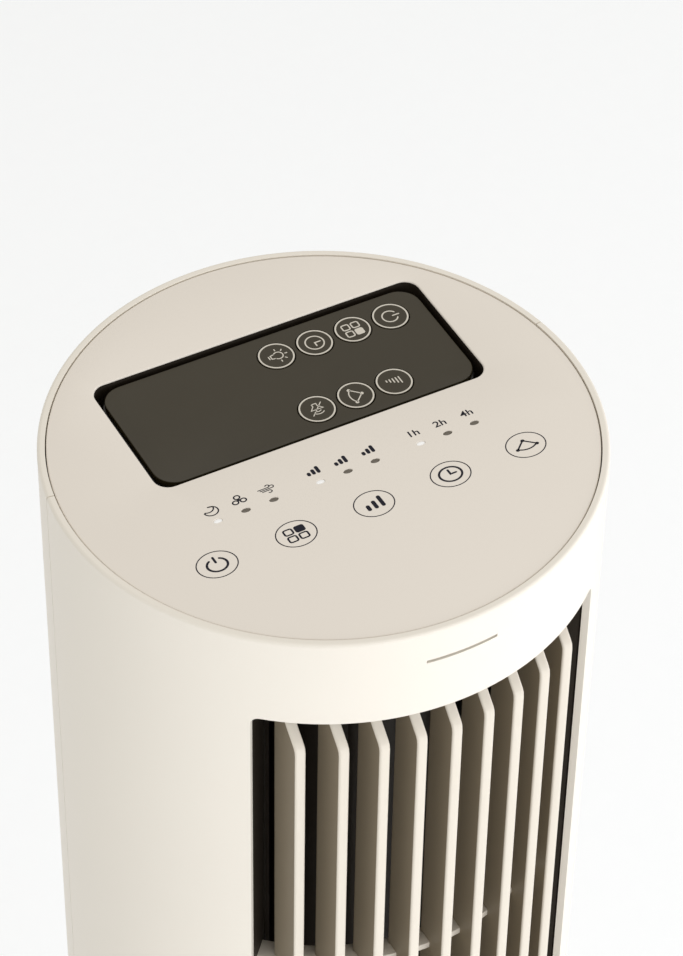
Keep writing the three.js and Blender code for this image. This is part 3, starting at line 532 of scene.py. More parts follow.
class Recipe(Tree):
    def __init__(self, name, **inputs):
        tree = bpy.data.node_groups.new(name, "GeometryNodeTree")
        super().__init__(tree)
        tree.interface.new_socket("Geometry", in_out="INPUT", socket_type="NodeSocketGeometry")
        tree.interface.new_socket("Material", in_out="INPUT", socket_type="NodeSocketMaterial")
        for label, kind in inputs.items():
            tree.interface.new_socket(label, in_out="INPUT", socket_type=SOCKETS[kind])
        tree.interface.new_socket("Geometry", in_out="OUTPUT", socket_type="NodeSocketGeometry")
        self.entry = tree.nodes.new("NodeGroupInput")

    def given(self, label):
        return Wire(self, self.entry.outputs[label])

    def position(self):
        place = self.node("GeometryNodeInputPosition")
        split = place.owner.node("ShaderNodeSeparateXYZ", {}, {0: place}).socket.node
        return [Wire(self, output) for output in split.outputs]

    def vector(self, x=0.0, y=0.0, z=0.0):
        return self.node("ShaderNodeCombineXYZ", {}, {0: x, 1: y, 2: z})

    def end(self, geometry):
        real = self.node("GeometryNodeRealizeInstances", {}, {"Geometry": geometry})
        done = self.node(
            "GeometryNodeSetMaterial", {}, {"Geometry": real, "Material": self.given("Material")})
        out = self.tree.nodes.new("NodeGroupOutput")
        self.tree.links.new(done.socket, out.inputs[0])

    def make(self, name, start, material, sharp=30, finishing=(), **sizes):
        carrier = add_object(name, start)
        modifier = carrier.modifiers.new("recipe", "NODES")
        modifier.node_group = self.tree
        for item in self.tree.interface.items_tree:
            if item.in_out == "INPUT" and item.name in sizes:
                modifier[item.identifier] = sizes[item.name]
            if item.in_out == "INPUT" and item.name == "Material":
                modifier[item.identifier] = material
        for kind, settings in finishing:
            finish = carrier.modifiers.new(kind.lower(), kind)
            for setting, value in settings.items():
                setattr(finish, setting, value)
        mesh = plain_mesh(name, carrier)
        mesh.materials.clear()
        mesh.materials.append(material)
        mesh.polygons.foreach_set("material_index", [0] * len(mesh.polygons))
        if not finishing:
            mesh.shade_smooth()
            mesh.set_sharp_from_angle(angle=math.radians(sharp))
        return mesh


# %% [markdown]
# ## The curved shells
# The housing is a tube in two halves: the front one with the air window and a thin slot, the rear one
# with rows of air slots. On paper such a wall is a flat sheet, so it starts flat, as a grid whose
# lines fall on the edges of its openings. A recipe then drops the faces that lie in a repeating slot,
# gives the sheet its thickness, and bends it round the column, drawing in the upper edge for a soft
# rim. A Bevel modifier breaks the edges, and Weighted Normal keeps the wall even.

# %% Write the recipe for a bent wall
def micrometres(x, z):
    return round(x * 1e6), round(z * 1e6)


def round_corners(mesh, hole, rounding):
    """Fill each corner of a hole with one face whose free side is a quarter circle."""
    at = {micrometres(vertex.co.x, vertex.co.z): vertex for vertex in mesh.verts}
    for x, inward in ((hole[0], 1), (hole[1], -1)):
        for z, upward in ((hole[2], 1), (hole[3], -1)):
            inner_x, inner_z = x + inward * rounding, z + upward * rounding
            corner, along, aside = [at[micrometres(*spot)] for spot in ((x, z), (inner_x, z), (x, inner_z))]
            curve = [mesh.verts.new((
                inner_x - inward * rounding * math.sin(turn), 0,
                inner_z - upward * rounding * math.cos(turn)))
                for turn in [math.pi / 16 * i for i in range(1, 8)]]
            face = [corner, along, *curve, aside]
            mesh.faces.new(face if inward == upward else face[::-1])


def flat_sheet(name, lines, levels, holes=(), rounding=0.0):
    """The first hole gets rounded corners: lines and levels must lie a rounding inside its edges."""
    mesh = bmesh.new()
    grid = [[mesh.verts.new((x, 0, z)) for x in lines] for z in levels]
    for row in range(len(levels) - 1):
        for column in range(len(lines) - 1):
            x = (lines[column] + lines[column + 1]) / 2
            z = (levels[row] + levels[row + 1]) / 2
            if any(x0 < x < x1 and z0 < z < z1 for x0, x1, z0, z1 in holes):
                continue
            low, high = grid[row], grid[row + 1]
            mesh.faces.new((low[column], low[column + 1], high[column + 1], high[column]))
    if rounding:
        round_corners(mesh, holes[0], rounding)
    loose = [vertex for vertex in mesh.verts if not vertex.link_faces]
    bmesh.ops.delete(mesh, geom=loose, context="VERTS")
    data = bpy.data.meshes.new(name)
    mesh.to_mesh(data)
    mesh.free()
    return data


def bent_wall():
    recipe = Recipe(
        "bent_wall", Radius="float", Wall="float", Turn="float", Top="float", Rim="float",
        SlotPitch="float", SlotWidth="float", SlotReach="float",
        RowPitch="float", RowHeight="float", RowMiddle="float", RowReach="float")
    x, y, z = recipe.position()
    across = recipe.sum("WRAP", x, recipe.given("SlotPitch") * 0.5, recipe.given("SlotPitch") * -0.5)
    height = z - recipe.given("RowMiddle")
    along = recipe.sum("WRAP", height, recipe.given("RowPitch"), 0.0) - recipe.given("RowPitch") * 0.5
    in_slot = (across.absolute() < recipe.given("SlotWidth") * 0.5) * (
        x.absolute() < recipe.given("SlotReach"))
    in_row = (along.absolute() < recipe.given("RowHeight") * 0.5) * (
        height.absolute() < recipe.given("RowReach"))
    pierced = recipe.node(
        "GeometryNodeDeleteGeometry", {"domain": "FACE"},
        {"Geometry": recipe.given("Geometry"), "Selection": in_slot * in_row})
    raised = recipe.node(
        "GeometryNodeExtrudeMesh", {"mode": "FACES"},
        {"Mesh": pierced, "Offset": recipe.vector(0, 1, 0), "Offset Scale": recipe.given("Wall"),
         "Individual": False})
    turned = recipe.node("GeometryNodeFlipFaces", {}, {"Mesh": raised})
    both = recipe.node("GeometryNodeJoinGeometry").socket.node
    recipe.tree.links.new(turned.socket, both.inputs[0])
    recipe.tree.links.new(pierced.socket, both.inputs[0])
    closed = recipe.node(
        "GeometryNodeMergeByDistance", {}, {"Geometry": Wire(recipe, both.outputs[0]), "Distance": 1e-6})
    rim = recipe.given("Rim")
    over = (z - (recipe.given("Top") - rim)).at_least(0)
    drawn_in = (rim - (rim * rim - over * over).at_least(0).root()) * (1 - y / recipe.given("Wall"))
    radius = recipe.given("Radius") - y - drawn_in
    angle = x / recipe.given("Radius") + recipe.given("Turn")
    bent = recipe.node(
        "GeometryNodeSetPosition", {},
        {"Geometry": closed,
         "Position": recipe.vector(radius * angle.sine(), -(radius * angle.cosine()), z)})
    recipe.end(bent)
    return recipe


wall_recipe = bent_wall()
print("bent wall:", len(wall_recipe.tree.nodes), "nodes")

# %% [markdown]
# ## Front shell
# The front half reaches 100 degrees to each side. Its window starts below a band at the top, and a
# thin slot lies in the band, where the remote's signal gets in. Lines every two degrees keep the curve
# smooth at this size, and the window's corners are rounded off, as a mould can't make them sharp.

# %% Make the front shell
GAP = 0.3 * MM
WALL = 1.95 * MM
RIM = 0.9 * MM
GRILLE_LAP = 3.3 * MM  # how far the grille reaches behind the shell, past the window
SLOT_DROP = 9.8 * MM
FRONT_HALF = math.radians(100)
WINDOW_HALF = math.radians(42.2)
grille_low, grille_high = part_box("front_grille")
window_low = grille_low.z + GRILLE_LAP
window_high = grille_high.z - GRILLE_LAP
slot_middle = column_high.z - SLOT_DROP
SLOT_HALF = math.radians(7.8)
SLOT_TALL = 0.9 * MM
slot_low, slot_high = slot_middle - SLOT_TALL / 2, slot_middle + SLOT_TALL / 2
WINDOW_CORNER = 2.4 * MM
EDGE_BREAK = {
    "limit_method": "ANGLE", "angle_limit": math.radians(40), "width": 0.32 * MM, "segments": 3,
    "use_clamp_overlap": True}
EVEN = {"mode": "FACE_AREA", "weight": 50, "keep_sharp": False}
SOFT_EDGES = [("BEVEL", EDGE_BREAK), ("WEIGHTED_NORMAL", EVEN)]


def spread(first, last, step):
    count = max(1, round((last - first) / step))
    return [first + (last - first) * i / count for i in range(count + 1)]


def joined(*parts):
    values = sorted(value for part in parts for value in part)
    return [value for i, value in enumerate(values) if i == 0 or value - values[i - 1] > 1e-6]


STEP = math.radians(2) * column_radius
end = FRONT_HALF * column_radius - GAP / 2
window_end = WINDOW_HALF * column_radius
slot_end = SLOT_HALF * column_radius
rim_levels = [column_high.z - RIM * (1 - math.sin(math.radians(turn)))
              for turn in (0, 22, 45, 60, 75, 90)]
corner_line = window_end - WINDOW_CORNER
front_lines = joined(
    spread(-end, -window_end, STEP), spread(-corner_line, -slot_end, STEP),
    spread(-slot_end, slot_end, STEP), spread(slot_end, corner_line, STEP), spread(window_end, end, STEP))
front_levels = joined(
    [column_low.z, window_low, window_low + WINDOW_CORNER, window_high - WINDOW_CORNER, window_high],
    [slot_low, slot_high], rim_levels)
front_sheet = flat_sheet("front_sheet", front_lines, front_levels, holes=[
    (-window_end, window_end, window_low, window_high),
    (-slot_end, slot_end, slot_low, slot_high),
], rounding=WINDOW_CORNER)
no_air_slots = {"SlotPitch": 1.0, "SlotWidth": 0.0, "SlotReach": 0.0,
                "RowPitch": 1.0, "RowHeight": 0.0, "RowMiddle": 0.0, "RowReach": 0.0}
front = wall_recipe.make(
    "front_shell_skin", front_sheet, cream, finishing=SOFT_EDGES,
    Radius=column_radius, Wall=WALL, Turn=0.0, Top=column_high.z, Rim=RIM, **no_air_slots)
show("front_shell_skin", front, "column", "cream_plastic", "front_shell")

# %% [markdown]
# ## Rear shell
# The rear half fills the rest of the circle. Its air slots stand in four rows of eleven. Only the
# pitch, width and reach of the rows go to the recipe: the sheet already has a line on each edge.

# %% Make the rear shell
ROWS = 4
COLUMNS = 11
INTAKE_HALF = math.radians(60)
INTAKE_WIDE = 4.5 * MM
BRIDGE = 14 * MM
row_pitch = (window_high - window_low) / ROWS
intake_middle = (window_high + window_low) / 2
slot_pitch = 2 * INTAKE_HALF / (COLUMNS - 1) * column_radius
rear_end = (math.pi - FRONT_HALF) * column_radius - GAP / 2
edges = [(column - (COLUMNS - 1) / 2) * slot_pitch + side * INTAKE_WIDE / 2
         for column in range(COLUMNS) for side in (-1, 1)]
rear_lines = [-rear_end]
for stop in (*edges, rear_end):
    rear_lines += spread(rear_lines[-1], stop, STEP)[1:]
rear_levels = joined([column_low.z], rim_levels, [
    window_low + row * row_pitch + side
    for row in range(ROWS) for side in (BRIDGE / 2, row_pitch - BRIDGE / 2)])
rear = wall_recipe.make(
    "rear_shell_skin", flat_sheet("rear_sheet", rear_lines, rear_levels), cream,
    finishing=SOFT_EDGES, Radius=column_radius, Wall=WALL, Turn=math.pi, Top=column_high.z, Rim=RIM,
    SlotPitch=slot_pitch, SlotWidth=INTAKE_WIDE, SlotReach=COLUMNS / 2 * slot_pitch,
    RowPitch=row_pitch, RowHeight=row_pitch - BRIDGE, RowMiddle=intake_middle,
    RowReach=row_pitch * ROWS / 2)
show("rear_shell_skin", rear, "column", "cream_plastic", "rear_shell")

# %% [markdown]
# ## Louvre
# Nine upright vanes share one shape: a thin blade with a narrow flat front, cut back at a slant near
# each end so that it tucks behind the shell. One blade is lofted through its heights. The recipe sets
# nine copies in a row across the window, each moved forward until its front edge lies on the same
# round as the column. Only the front faces carry the cream: the sides get a dark brown that is
# painted shade, for the shadow deep in the gaps between the vanes.

# %% Make the vanes
VANES = 9
VANE_THICK = 2.8 * MM
VANE_DEEP = 11 * MM
VANE_BACK = 0.5 * MM  # from the column's surface
VANE_NOSE = 0.6 * MM
NOSE_STEPS = 5
VANE_DROP = 10.6 * MM
VANE_TUCK = 9.3 * MM
BEAD = 0.22 * MM
BEAD_TALL = 1.0 * MM
VANE_END = 1.5 * MM  # from the end of the grille
VANE_MARGIN = 10.06 * MM  # from the window's side to the middle of the first vane
SLANT_START = 1.2 * MM  # below the window's upper edge
vane_top = grille_high.z - VANE_END
vane_low = grille_low.z + VANE_END


def vane_outline(front):
    half = VANE_THICK / 2
    nose = [(-half + aside, front + back) for back, aside in quarter(VANE_NOSE, NOSE_STEPS)]
    nose += [(-x, y) for x, y in reversed(nose)]
    bead = VANE_DEEP - BEAD_TALL
    right_side = [(half, bead), (half + BEAD, bead + 0.35 * MM), (half + BEAD, VANE_DEEP - 0.3 * MM),
                  (half - 0.2 * MM, VANE_DEEP)]
    return nose + right_side + [(-x, y) for x, y in reversed(right_side)]


def vane_shape():
    """Fronts and heights from the top down: upright behind the band, a slant, and the long front."""
    slant_end = window_high - VANE_DROP
    upper = [(VANE_TUCK, vane_top), (VANE_TUCK, window_high - SLANT_START)]
    slant = [(VANE_TUCK * share, slant_end + (VANE_DROP - SLANT_START) * share)
             for share in (0.75, 0.5, 0.25, 0.08)]
    soft = [(0.02 * VANE_TUCK, slant_end - 0.2 * MM), (0, slant_end - 1.6 * MM)]
    half = upper + slant + soft
    return half + [(front, vane_top + vane_low - height) for front, height in reversed(half)]


form = Form()
loops = [form.loop(vane_outline(front), height) for front, height in vane_shape()]
form.solid(*loops)
vane = form.data("vane")
faces_round = len(loops[0])
nose_faces = 2 * NOSE_STEPS + 1

row = Recipe("vane_row", Count="count", Half="float", Radius="float")
pitch = row.given("Half") * 2.0 / (row.given("Count") - 1)
points = row.node(
    "GeometryNodeMeshLine", {"mode": "OFFSET"},
    {"Count": row.given("Count"), "Start Location": row.vector(-row.given("Half")),
     "Offset": row.vector(pitch)})
x, y, z = row.position()
depth = (row.given("Radius") * row.given("Radius") - x * x).root()
curved = row.node("GeometryNodeSetPosition", {}, {"Geometry": points, "Position": row.vector(x, -depth, z)})
row.end(row.node("GeometryNodeInstanceOnPoints", {}, {"Points": curved, "Instance": row.given("Geometry")}))
half_row = column_radius * math.sin(WINDOW_HALF) - VANE_MARGIN
vane_front = column_radius - VANE_BACK
vanes = row.make("louvre_vanes", vane, vane_cream, sharp=50, Count=VANES, Half=half_row, Radius=vane_front)
# The second material is the dark brown of painted shade, and it goes on every face off the vane's front.
vanes.materials.append(vane_painted_shade)
lofted = faces_round * (len(loops) - 1)
for polygon in vanes.polygons:
    number = polygon.index % len(vane.polygons)
    on_front = number < lofted and number % faces_round < nose_faces
    polygon.material_index = 0 if on_front else 1
show("louvre_vanes", vanes, "column", "cream_plastic", "front_grille")

# %% [markdown]
# ## Louvre hoops
# Round hoops tie the vanes together behind their front edges, and two taller ones, painted dark, close
# the louvre at its ends. Each is a flat bar bent to an arc: the recipe draws the arc, sweeps a bar with
# soft corners along it, and stacks copies at an even pitch.

# %% Make the hoops
hoops = Recipe("hoop_stack", Count="count", Radius="float", Half="float", Deep="float", Tall="float",
               Start="float", Pitch="float")
arc = hoops.node(
    "GeometryNodeCurveArc", {"mode": "RADIUS"},
    {"Resolution": 48, "Radius": hoops.given("Radius"),
     "Start Angle": -math.pi / 2 - hoops.given("Half"),
     "Sweep Angle": hoops.given("Half") * 2.0})
bar = hoops.node(
    "GeometryNodeCurvePrimitiveQuadrilateral", {"mode": "RECTANGLE"},
    {"Width": hoops.given("Deep"), "Height": hoops.given("Tall")})
soft_bar = hoops.node(
    "GeometryNodeFilletCurve", {"mode": "POLY"},
    {"Curve": bar, "Radius": 0.35 * MM, "Count": 2, "Limit Radius": True})
swept = hoops.node(
    "GeometryNodeCurveToMesh", {}, {"Curve": arc, "Profile Curve": soft_bar, "Fill Caps": True})
stack = hoops.node(
    "GeometryNodeMeshLine", {"mode": "OFFSET"},
    {"Count": hoops.given("Count"), "Start Location": hoops.vector(0, 0, hoops.given("Start")),
     "Offset": hoops.vector(0, 0, hoops.given("Pitch"))})
hoops.end(hoops.node("GeometryNodeInstanceOnPoints", {}, {"Points": stack, "Instance": swept}))

RIBS = 5
RIB_TALL = 2.2 * MM
RIB_FRONT = 6.4 * MM  # behind the fronts of the vanes
RIB_DEEP = 5.6 * MM
RIB_REACH = 0.024  # radians past the window's side
END_REACH = 0.042  # radians
FRAME_DEEP = 11.5 * MM
FRAME_TALL = 4.5 * MM
rib_pitch = (window_high - window_low) / (RIBS + 1)
nothing = bpy.data.meshes.new("nothing")
ribs = hoops.make(
    "louvre_hoops", nothing, vane_cream, sharp=40, Count=RIBS, Radius=vane_front - RIB_FRONT - RIB_DEEP / 2,
    Half=WINDOW_HALF + RIB_REACH, Deep=RIB_DEEP, Tall=RIB_TALL,
    Start=window_low + rib_pitch - RIB_TALL / 2, Pitch=rib_pitch)
show("louvre_hoops", ribs, "column", "cream_plastic")
frame_outer = column_radius - WALL - GAP
ends = hoops.make(
    "louvre_ends", nothing, black, sharp=40, Count=2, Radius=frame_outer - FRAME_DEEP / 2,
    Half=WINDOW_HALF + END_REACH, Deep=FRAME_DEEP, Tall=FRAME_TALL,
    Start=grille_low.z + FRAME_TALL / 2, Pitch=grille_high.z - grille_low.z - FRAME_TALL)
show("louvre_ends", ends, "column", "black_plastic")

# %% [markdown]
# ## Louvre jambs and lips
# A dark post stands at each side of the window, and a dark lip bends round behind the vanes at each end
# and hides where the duct stops. Posts and lips are single shapes, so they are lofted: a post upwards,
# a lip round the column with its section turned at every step.

# %% Make the jambs and the lips
JAMB_REACH = 0.007  # radians past the window's side
JAMB_THICK = 2.4 * MM
frame_inner = frame_outer - FRAME_DEEP
inner = WINDOW_HALF + JAMB_REACH
outer = inner + JAMB_THICK / frame_outer
form = Form()
for side in (-1, 1):
    outline = [(side * radius * math.sin(angle), -radius * math.cos(angle)) for radius, angle in (
        (frame_outer - 0.3 * MM, inner), (frame_outer, inner + 0.005), (frame_outer, outer),
        (frame_inner, outer), (frame_inner, inner + 0.004), (frame_inner + 0.3 * MM, inner))]
    form.solid(form.loop(outline, vane_low), form.loop(outline, vane_top))
show("louvre_jambs", form.data("louvre_jambs", black), "column", "black_plastic")

LIP_DROP = 10.5 * MM
LIP_THICK = 1.4 * MM
LIP_SOFT = 0.5 * MM
LIP_REACH = 0.02  # radians past the window's side
lip_inner = frame_inner + 0.1 * MM
lip_outer = lip_inner + LIP_THICK
form = Form()
for low, high in ((window_high - LIP_DROP, vane_top), (vane_low, window_low + LIP_DROP)):
    section = ((lip_outer - LIP_SOFT, low), (lip_outer, low + LIP_SOFT), (lip_outer, high - LIP_SOFT),
               (lip_outer - LIP_SOFT, high), (lip_inner, high), (lip_inner, low))
    loops = [[form.mesh.verts.new((radius * math.sin(turn), -radius * math.cos(turn), height))
              for radius, height in section]
             for turn in spread(-WINDOW_HALF - LIP_REACH, WINDOW_HALF + LIP_REACH, math.radians(2))]
    form.solid(*loops)
show("louvre_lips", form.data("louvre_lips", black), "column", "black_plastic")

# %% [markdown]
# ## Control panel
# The top is one moulding: a flat disc with a turned-down rim, small holes for the lamps, and a sunk
# tray that the remote lies in. The tray's lower walls and floor take the black plastic as painted
# shade, for the shadow in the gap round the remote. Its upper face is one flat outline with holes in
# it, and every opening has a small round at its edge, so it is built loop by loop from the upper face
# down. The lamps and the print share one layout, which is turned a little on the panel.

# %% Make the control panel
panel_low, panel_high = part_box("top_panel")
PANEL_RADIUS = -panel_low.y
PANEL_THICK = 2.5 * MM
SKIRT = 5 * MM
SKIRT_WALL = 2.2 * MM
TRAY_CORNER = 4 * MM
TRAY_WALL = 2 * MM
TRAY_CLEARANCE = 0.9 * MM
back_low, back_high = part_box("remote_back")
remote_long, remote_wide = back_high.x - back_low.x, back_high.y - back_low.y
tray_long, tray_wide = remote_long + 2 * TRAY_CLEARANCE, remote_wide + 2 * TRAY_CLEARANCE
tray_floor = back_low.z - GAP
panel_under = panel_high.z - PANEL_THICK
LAMP_PITCH = 7.6 * MM
GROUP_PITCH = 28 * MM
LAMP_Y = -13.2 * MM
LAMP_RADIUS = 1.15 * MM
LAMP_FLAT = 0.6  # how wide a lamp is for its length
PRINT_TURN = math.radians(1.15)
PRINT_SHIFT = Vector((-0.6 * MM, 0.15 * MM))
PRINT_FLAT = 0.82  # how tall the print is for its width


def centre(box):
    return [(low + high) / 2 for low, high in zip(*box)]


def along_print(length):
    return (*(Matrix.Rotation(PRINT_TURN, 2) @ Vector((length, 0))), 0)


def on_panel(x, y):
    return Matrix.Rotation(PRINT_TURN, 2) @ Vector((x, y)) + PRINT_SHIFT


def oval(x, y, radius, sides):
    return [(px, y + (py - y) * LAMP_FLAT) for px, py in circle(x, y, radius, sides)]


tray_x, tray_y = centre((back_low, back_high))[:2]
lamp_columns = [(group - 1) * GROUP_PITCH + (lamp_number - 1) * LAMP_PITCH
                for group in range(3) for lamp_number in range(3)]
lamp_spots = [on_panel(x, LAMP_Y) for x in lamp_columns]


def tray_outline(grow):
    return rounded(tray_x, tray_y, tray_long, tray_wide, TRAY_CORNER, grow)


def make_panel():
    form = Form()
    top = panel_high.z
    edge, tray_edge, hole_edge = 0.35 * MM, 0.45 * MM, 0.12 * MM
    around = [form.loop(circle(0, 0, PANEL_RADIUS - inset, 180), top - drop)
              for inset, drop in quarter(edge, 4)]
    around += [form.loop(circle(0, 0, PANEL_RADIUS, 180), panel_under - SKIRT),
               form.loop(circle(0, 0, PANEL_RADIUS - SKIRT_WALL, 180), panel_under - SKIRT),
               form.loop(circle(0, 0, PANEL_RADIUS - SKIRT_WALL, 180), panel_under)]
    form.loft(*around)
    tray = [form.loop(tray_outline(grow), top - drop) for grow, drop in quarter(tray_edge, 4)]
    tray += [form.loop(tray_outline(-inset), tray_floor + height)
             for inset, height in ((0, 0.5 * MM), (0.15 * MM, 0.15 * MM), (0.5 * MM, 0))]
    form.loft(*tray[:5])
    # Below its rounded lip the tray is black plastic: painted shade in the gap round the remote.
    form.loft(*tray[4:], finish=1)
    form.fill(tray[-1], finish=1)
    under = [form.loop(tray_outline(TRAY_WALL), panel_under),
             form.loop(tray_outline(TRAY_WALL), tray_floor - TRAY_WALL)]
    form.loft(*under)
    form.fill(under[-1])
    tops, bottoms = [around[0], tray[0]], [around[-1], under[0]]
    for x, y in lamp_spots:
        radius = LAMP_RADIUS + 0.06 * MM
        hole = [form.loop(oval(x, y, radius + hole_edge, 32), top),
                form.loop(oval(x, y, radius, 32), top - hole_edge),
                form.loop(oval(x, y, radius, 32), panel_under)]
        form.loft(*hole)
        tops.append(hole[0])
        bottoms.append(hole[-1])
    form.fill(*tops)
    form.fill(*bottoms)
    return form.data("panel_moulding", panel_cream, black, sharp=35)


show("panel_moulding", make_panel(), "column", "panel_plastic", "top_panel")

# %% [markdown]
# ## Remote control
# The remote is a shallow box with a filmed face plate. The box has rounded long edges, and the plate
# stands a hair inside it, which gives the double dark line all round. The plate has a round hole for
# each key. Both follow one rounded outline, grown or shrunk for each edge.

# %% Make the remote's box and face
face_low, face_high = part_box("remote_face")
REMOTE_CORNER = 6.5 * MM
KEY_HOLE = 0.3 * MM  # round each key
KEY_NAMES = ("light", "timer", "mode", "power", "mute", "swing", "speed")
key_boxes = {name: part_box(f"remote_key_{name}") for name in KEY_NAMES}
key_spots = {name: centre(box)[:2] for name, box in key_boxes.items()}
KEY_FLANGE = 0.6 * MM
key_low, key_high = key_boxes["power"]
key_radius = (key_high.x - key_low.x) / 2 - KEY_FLANGE


def remote_outline(inset):
    return rounded(tray_x, tray_y, remote_long, remote_wide, REMOTE_CORNER, -inset)


def make_remote_box():
    form = Form()
    soft = 1.2 * MM
    wall = 1.2 * MM
    outside = [form.loop(remote_outline(inset), back_low.z + height) for inset, height in quarter(soft, 5)]
    outside += [form.loop(remote_outline(inset), back_high.z - drop)
                for inset, drop in ((0, 0.25 * MM), (0.08 * MM, 0.08 * MM), (0.25 * MM, 0))]
    outside += [form.loop(remote_outline(wall), back_high.z),
                form.loop(remote_outline(wall), back_low.z + wall)]
    form.solid(*outside)
    return form.data("remote_box", edge_film, sharp=40)


def make_remote_face():
    form = Form()
    inset = 0.6 * MM
    soft = 0.3 * MM
    outside = [form.loop(remote_outline(inset + grow), face_high.z - drop) for grow, drop in quarter(soft, 4)]
    outside += [form.loop(remote_outline(inset), face_low.z)]
    form.loft(*outside)
    tops, bottoms = [outside[0]], [outside[-1]]
    hole_edge = 0.08 * MM
    for x, y in key_spots.values():
        rounds = ((hole_edge, face_high.z), (0, face_high.z - hole_edge), (0, face_low.z))
        hole = [form.loop(circle(x, y, key_radius + KEY_HOLE + grow, 48), height) for grow, height in rounds]
        form.loft(*hole)
        tops.append(hole[0])
        bottoms.append(hole[-1])
    form.fill(*tops)
    form.fill(*bottoms)
    return form.data("remote_plate", film, sharp=40)


show("remote_box", make_remote_box(), "remote", "black_plastic", "remote_back")
show("remote_plate", make_remote_face(), "remote", "dark_gloss", "remote_face")

# %% [markdown]
# ## Remote keys
# Seven round keys stand a tenth of a millimetre above the film. Each is a low dome with a flange under
# the plate that stops it from falling out. The dome is slightly dished in the middle for the finger,
# and it shows as a soft change of shade inside each ring.

# %% Make the remote's keys
def make_key(name):
    form = Form()
    x, y = key_spots[name]
    low, high = (corner.z for corner in key_boxes[name])
    rise = [(0.25, -0.10), (0.6, -0.07), (0.85, -0.02), (0.93, 0), (0.98, -0.05), (1.0, -0.16)]
    dome = [form.loop(circle(x, y, key_radius * share, 48), high + below * MM) for share, below in rise]
    flange_top = low + 0.3 * MM
    skirt = [form.loop(circle(x, y, key_radius + grow, 48), height)
             for grow, height in ((0, flange_top), (KEY_FLANGE, flange_top), (KEY_FLANGE, low))]
    form.solid(*dome, *skirt)
    return form.data(f"key_{name}_cap", film, sharp=50)


for name in KEY_NAMES:
    show(f"key_{name}_cap", make_key(name), f"key_{name}", "dark_gloss", f"remote_key_{name}")

# %% [markdown]
# ## Printed marks
# Marks on keys are drawn with a few strokes: lines with round ends, rings, dots and filled shapes. A
# small pen turns each stroke into a flat outline and gives the whole mark the thickness of a layer of
# ink, so that it catches light as print does. Pictures of the marks as textures would blur up close.

# %% Define the pen
INK = 0.02 * MM


class Pen:
    def __init__(self):
        self.mesh = bmesh.new()

    def patch(self, outline, hole=None):
        loop = [self.mesh.verts.new((x * MM, y * MM, 0)) for x, y in outline]
        if hole is None:
            self.mesh.faces.new(loop)
            return
        inner = [self.mesh.verts.new((x * MM, y * MM, 0)) for x, y in hole]
        for i in range(len(loop)):
            j = (i + 1) % len(loop)
            self.mesh.faces.new((loop[i], loop[j], inner[j], inner[i]))

    def line(self, points, wide):
        """An open stroke with round ends and mitred bends."""
        half = wide / 2
        left, right = [], []
        for i, (x, y) in enumerate(points):
            before = Vector(points[max(0, i - 1)])
            after = Vector(points[min(len(points) - 1, i + 1)])
            here = Vector((x, y))
            ways = [(here - before).normalized(), (after - here).normalized()]
            ways = [way for way in ways if way.length > 0.5]
            across = sum((Vector((-way.y, way.x)) for way in ways), Vector((0, 0))).normalized()
            first = Vector((-ways[0].y, ways[0].x))
            reach = half / max(0.5, across.dot(first))
            left.append(here + across * reach)
            right.append(here - across * reach)
        end, start = self.cap(points[-1], points[-2], half), self.cap(points[0], points[1], half)
        self.patch([(point[0], point[1]) for point in (*left, *end, *reversed(right), *start)])

    def cap(self, end, inner, half, steps=5):
        way = (Vector(end) - Vector(inner)).normalized()
        start = math.atan2(way.y, way.x) + math.pi / 2
        turns = [start - math.pi * i / (steps + 1) for i in range(1, steps + 1)]
        return [(end[0] + half * math.cos(turn), end[1] + half * math.sin(turn)) for turn in turns]

    def ring(self, x, y, radius, wide, sides=48):
        self.patch(circle(x, y, radius + wide / 2, sides), circle(x, y, radius - wide / 2, sides))

    def dot(self, x, y, radius, sides=20):
        self.patch(circle(x, y, radius, sides))

    def arc(self, x, y, radius, start, end, wide, steps=20):
        """Angles in degrees, clockwise from the top."""
        turns = [math.radians(start + (end - start) * i / steps) for i in range(steps + 1)]
        self.line([(x + radius * math.sin(turn), y + radius * math.cos(turn)) for turn in turns], wide)

    def frame(self, x, y, long, tall, corner, wide):
        outer, inner = [rounded(x, y, long, tall, corner, grow, 4) for grow in (wide / 2, -wide / 2)]
        self.patch(outer, inner)

    def block(self, x, y, long, tall, corner):
        self.patch(rounded(x, y, long, tall, corner, 0, 4))

    def print_at(self, name, material, place, height, turn=0.0, size=1.0, flat=1.0, spin=0.0):
        bmesh.ops.recalc_face_normals(self.mesh, faces=self.mesh.faces)
        raised = bmesh.ops.extrude_face_region(self.mesh, geom=self.mesh.faces[:], use_keep_orig=True)
        moved = [item for item in raised["geom"] if isinstance(item, bmesh.types.BMVert)]
        bmesh.ops.translate(self.mesh, verts=moved, vec=(0, 0, INK / size))
        bmesh.ops.recalc_face_normals(self.mesh, faces=self.mesh.faces)
        where = Matrix.Translation((*place, height)) @ Matrix.Rotation(turn, 4, "Z")
        shape = Matrix.Diagonal((size, size * flat, size, 1)) @ Matrix.Rotation(spin, 4, "Z")
        self.mesh.transform(where @ shape)
        data = bpy.data.meshes.new(name)
        self.mesh.to_mesh(data)
        self.mesh.free()
        data.materials.append(material)
        return data


# %% [markdown]
# ## The signs
# Each sign is a function that draws on a pen, upright and about six millimetres wide round its own
# middle, so that the panel and the remote share them. The remote's are turned to read from its end.

# %% Draw the signs
def sign_power(pen, wide):
    pen.arc(0, -0.15, 2.35, 32, 328, wide, 28)
    pen.line([(0, 0.75), (0, 2.75)], wide)


def sign_modes(pen, wide):
    for x in (-1.55, 1.55):
        for y in (-1.55, 1.55):
            if x > 0 and y > 0:
                pen.block(x, y, 2.25 + wide, 2.25 + wide, 0.65)
            else:
                pen.frame(x, y, 2.25, 2.25, 0.5, wide)


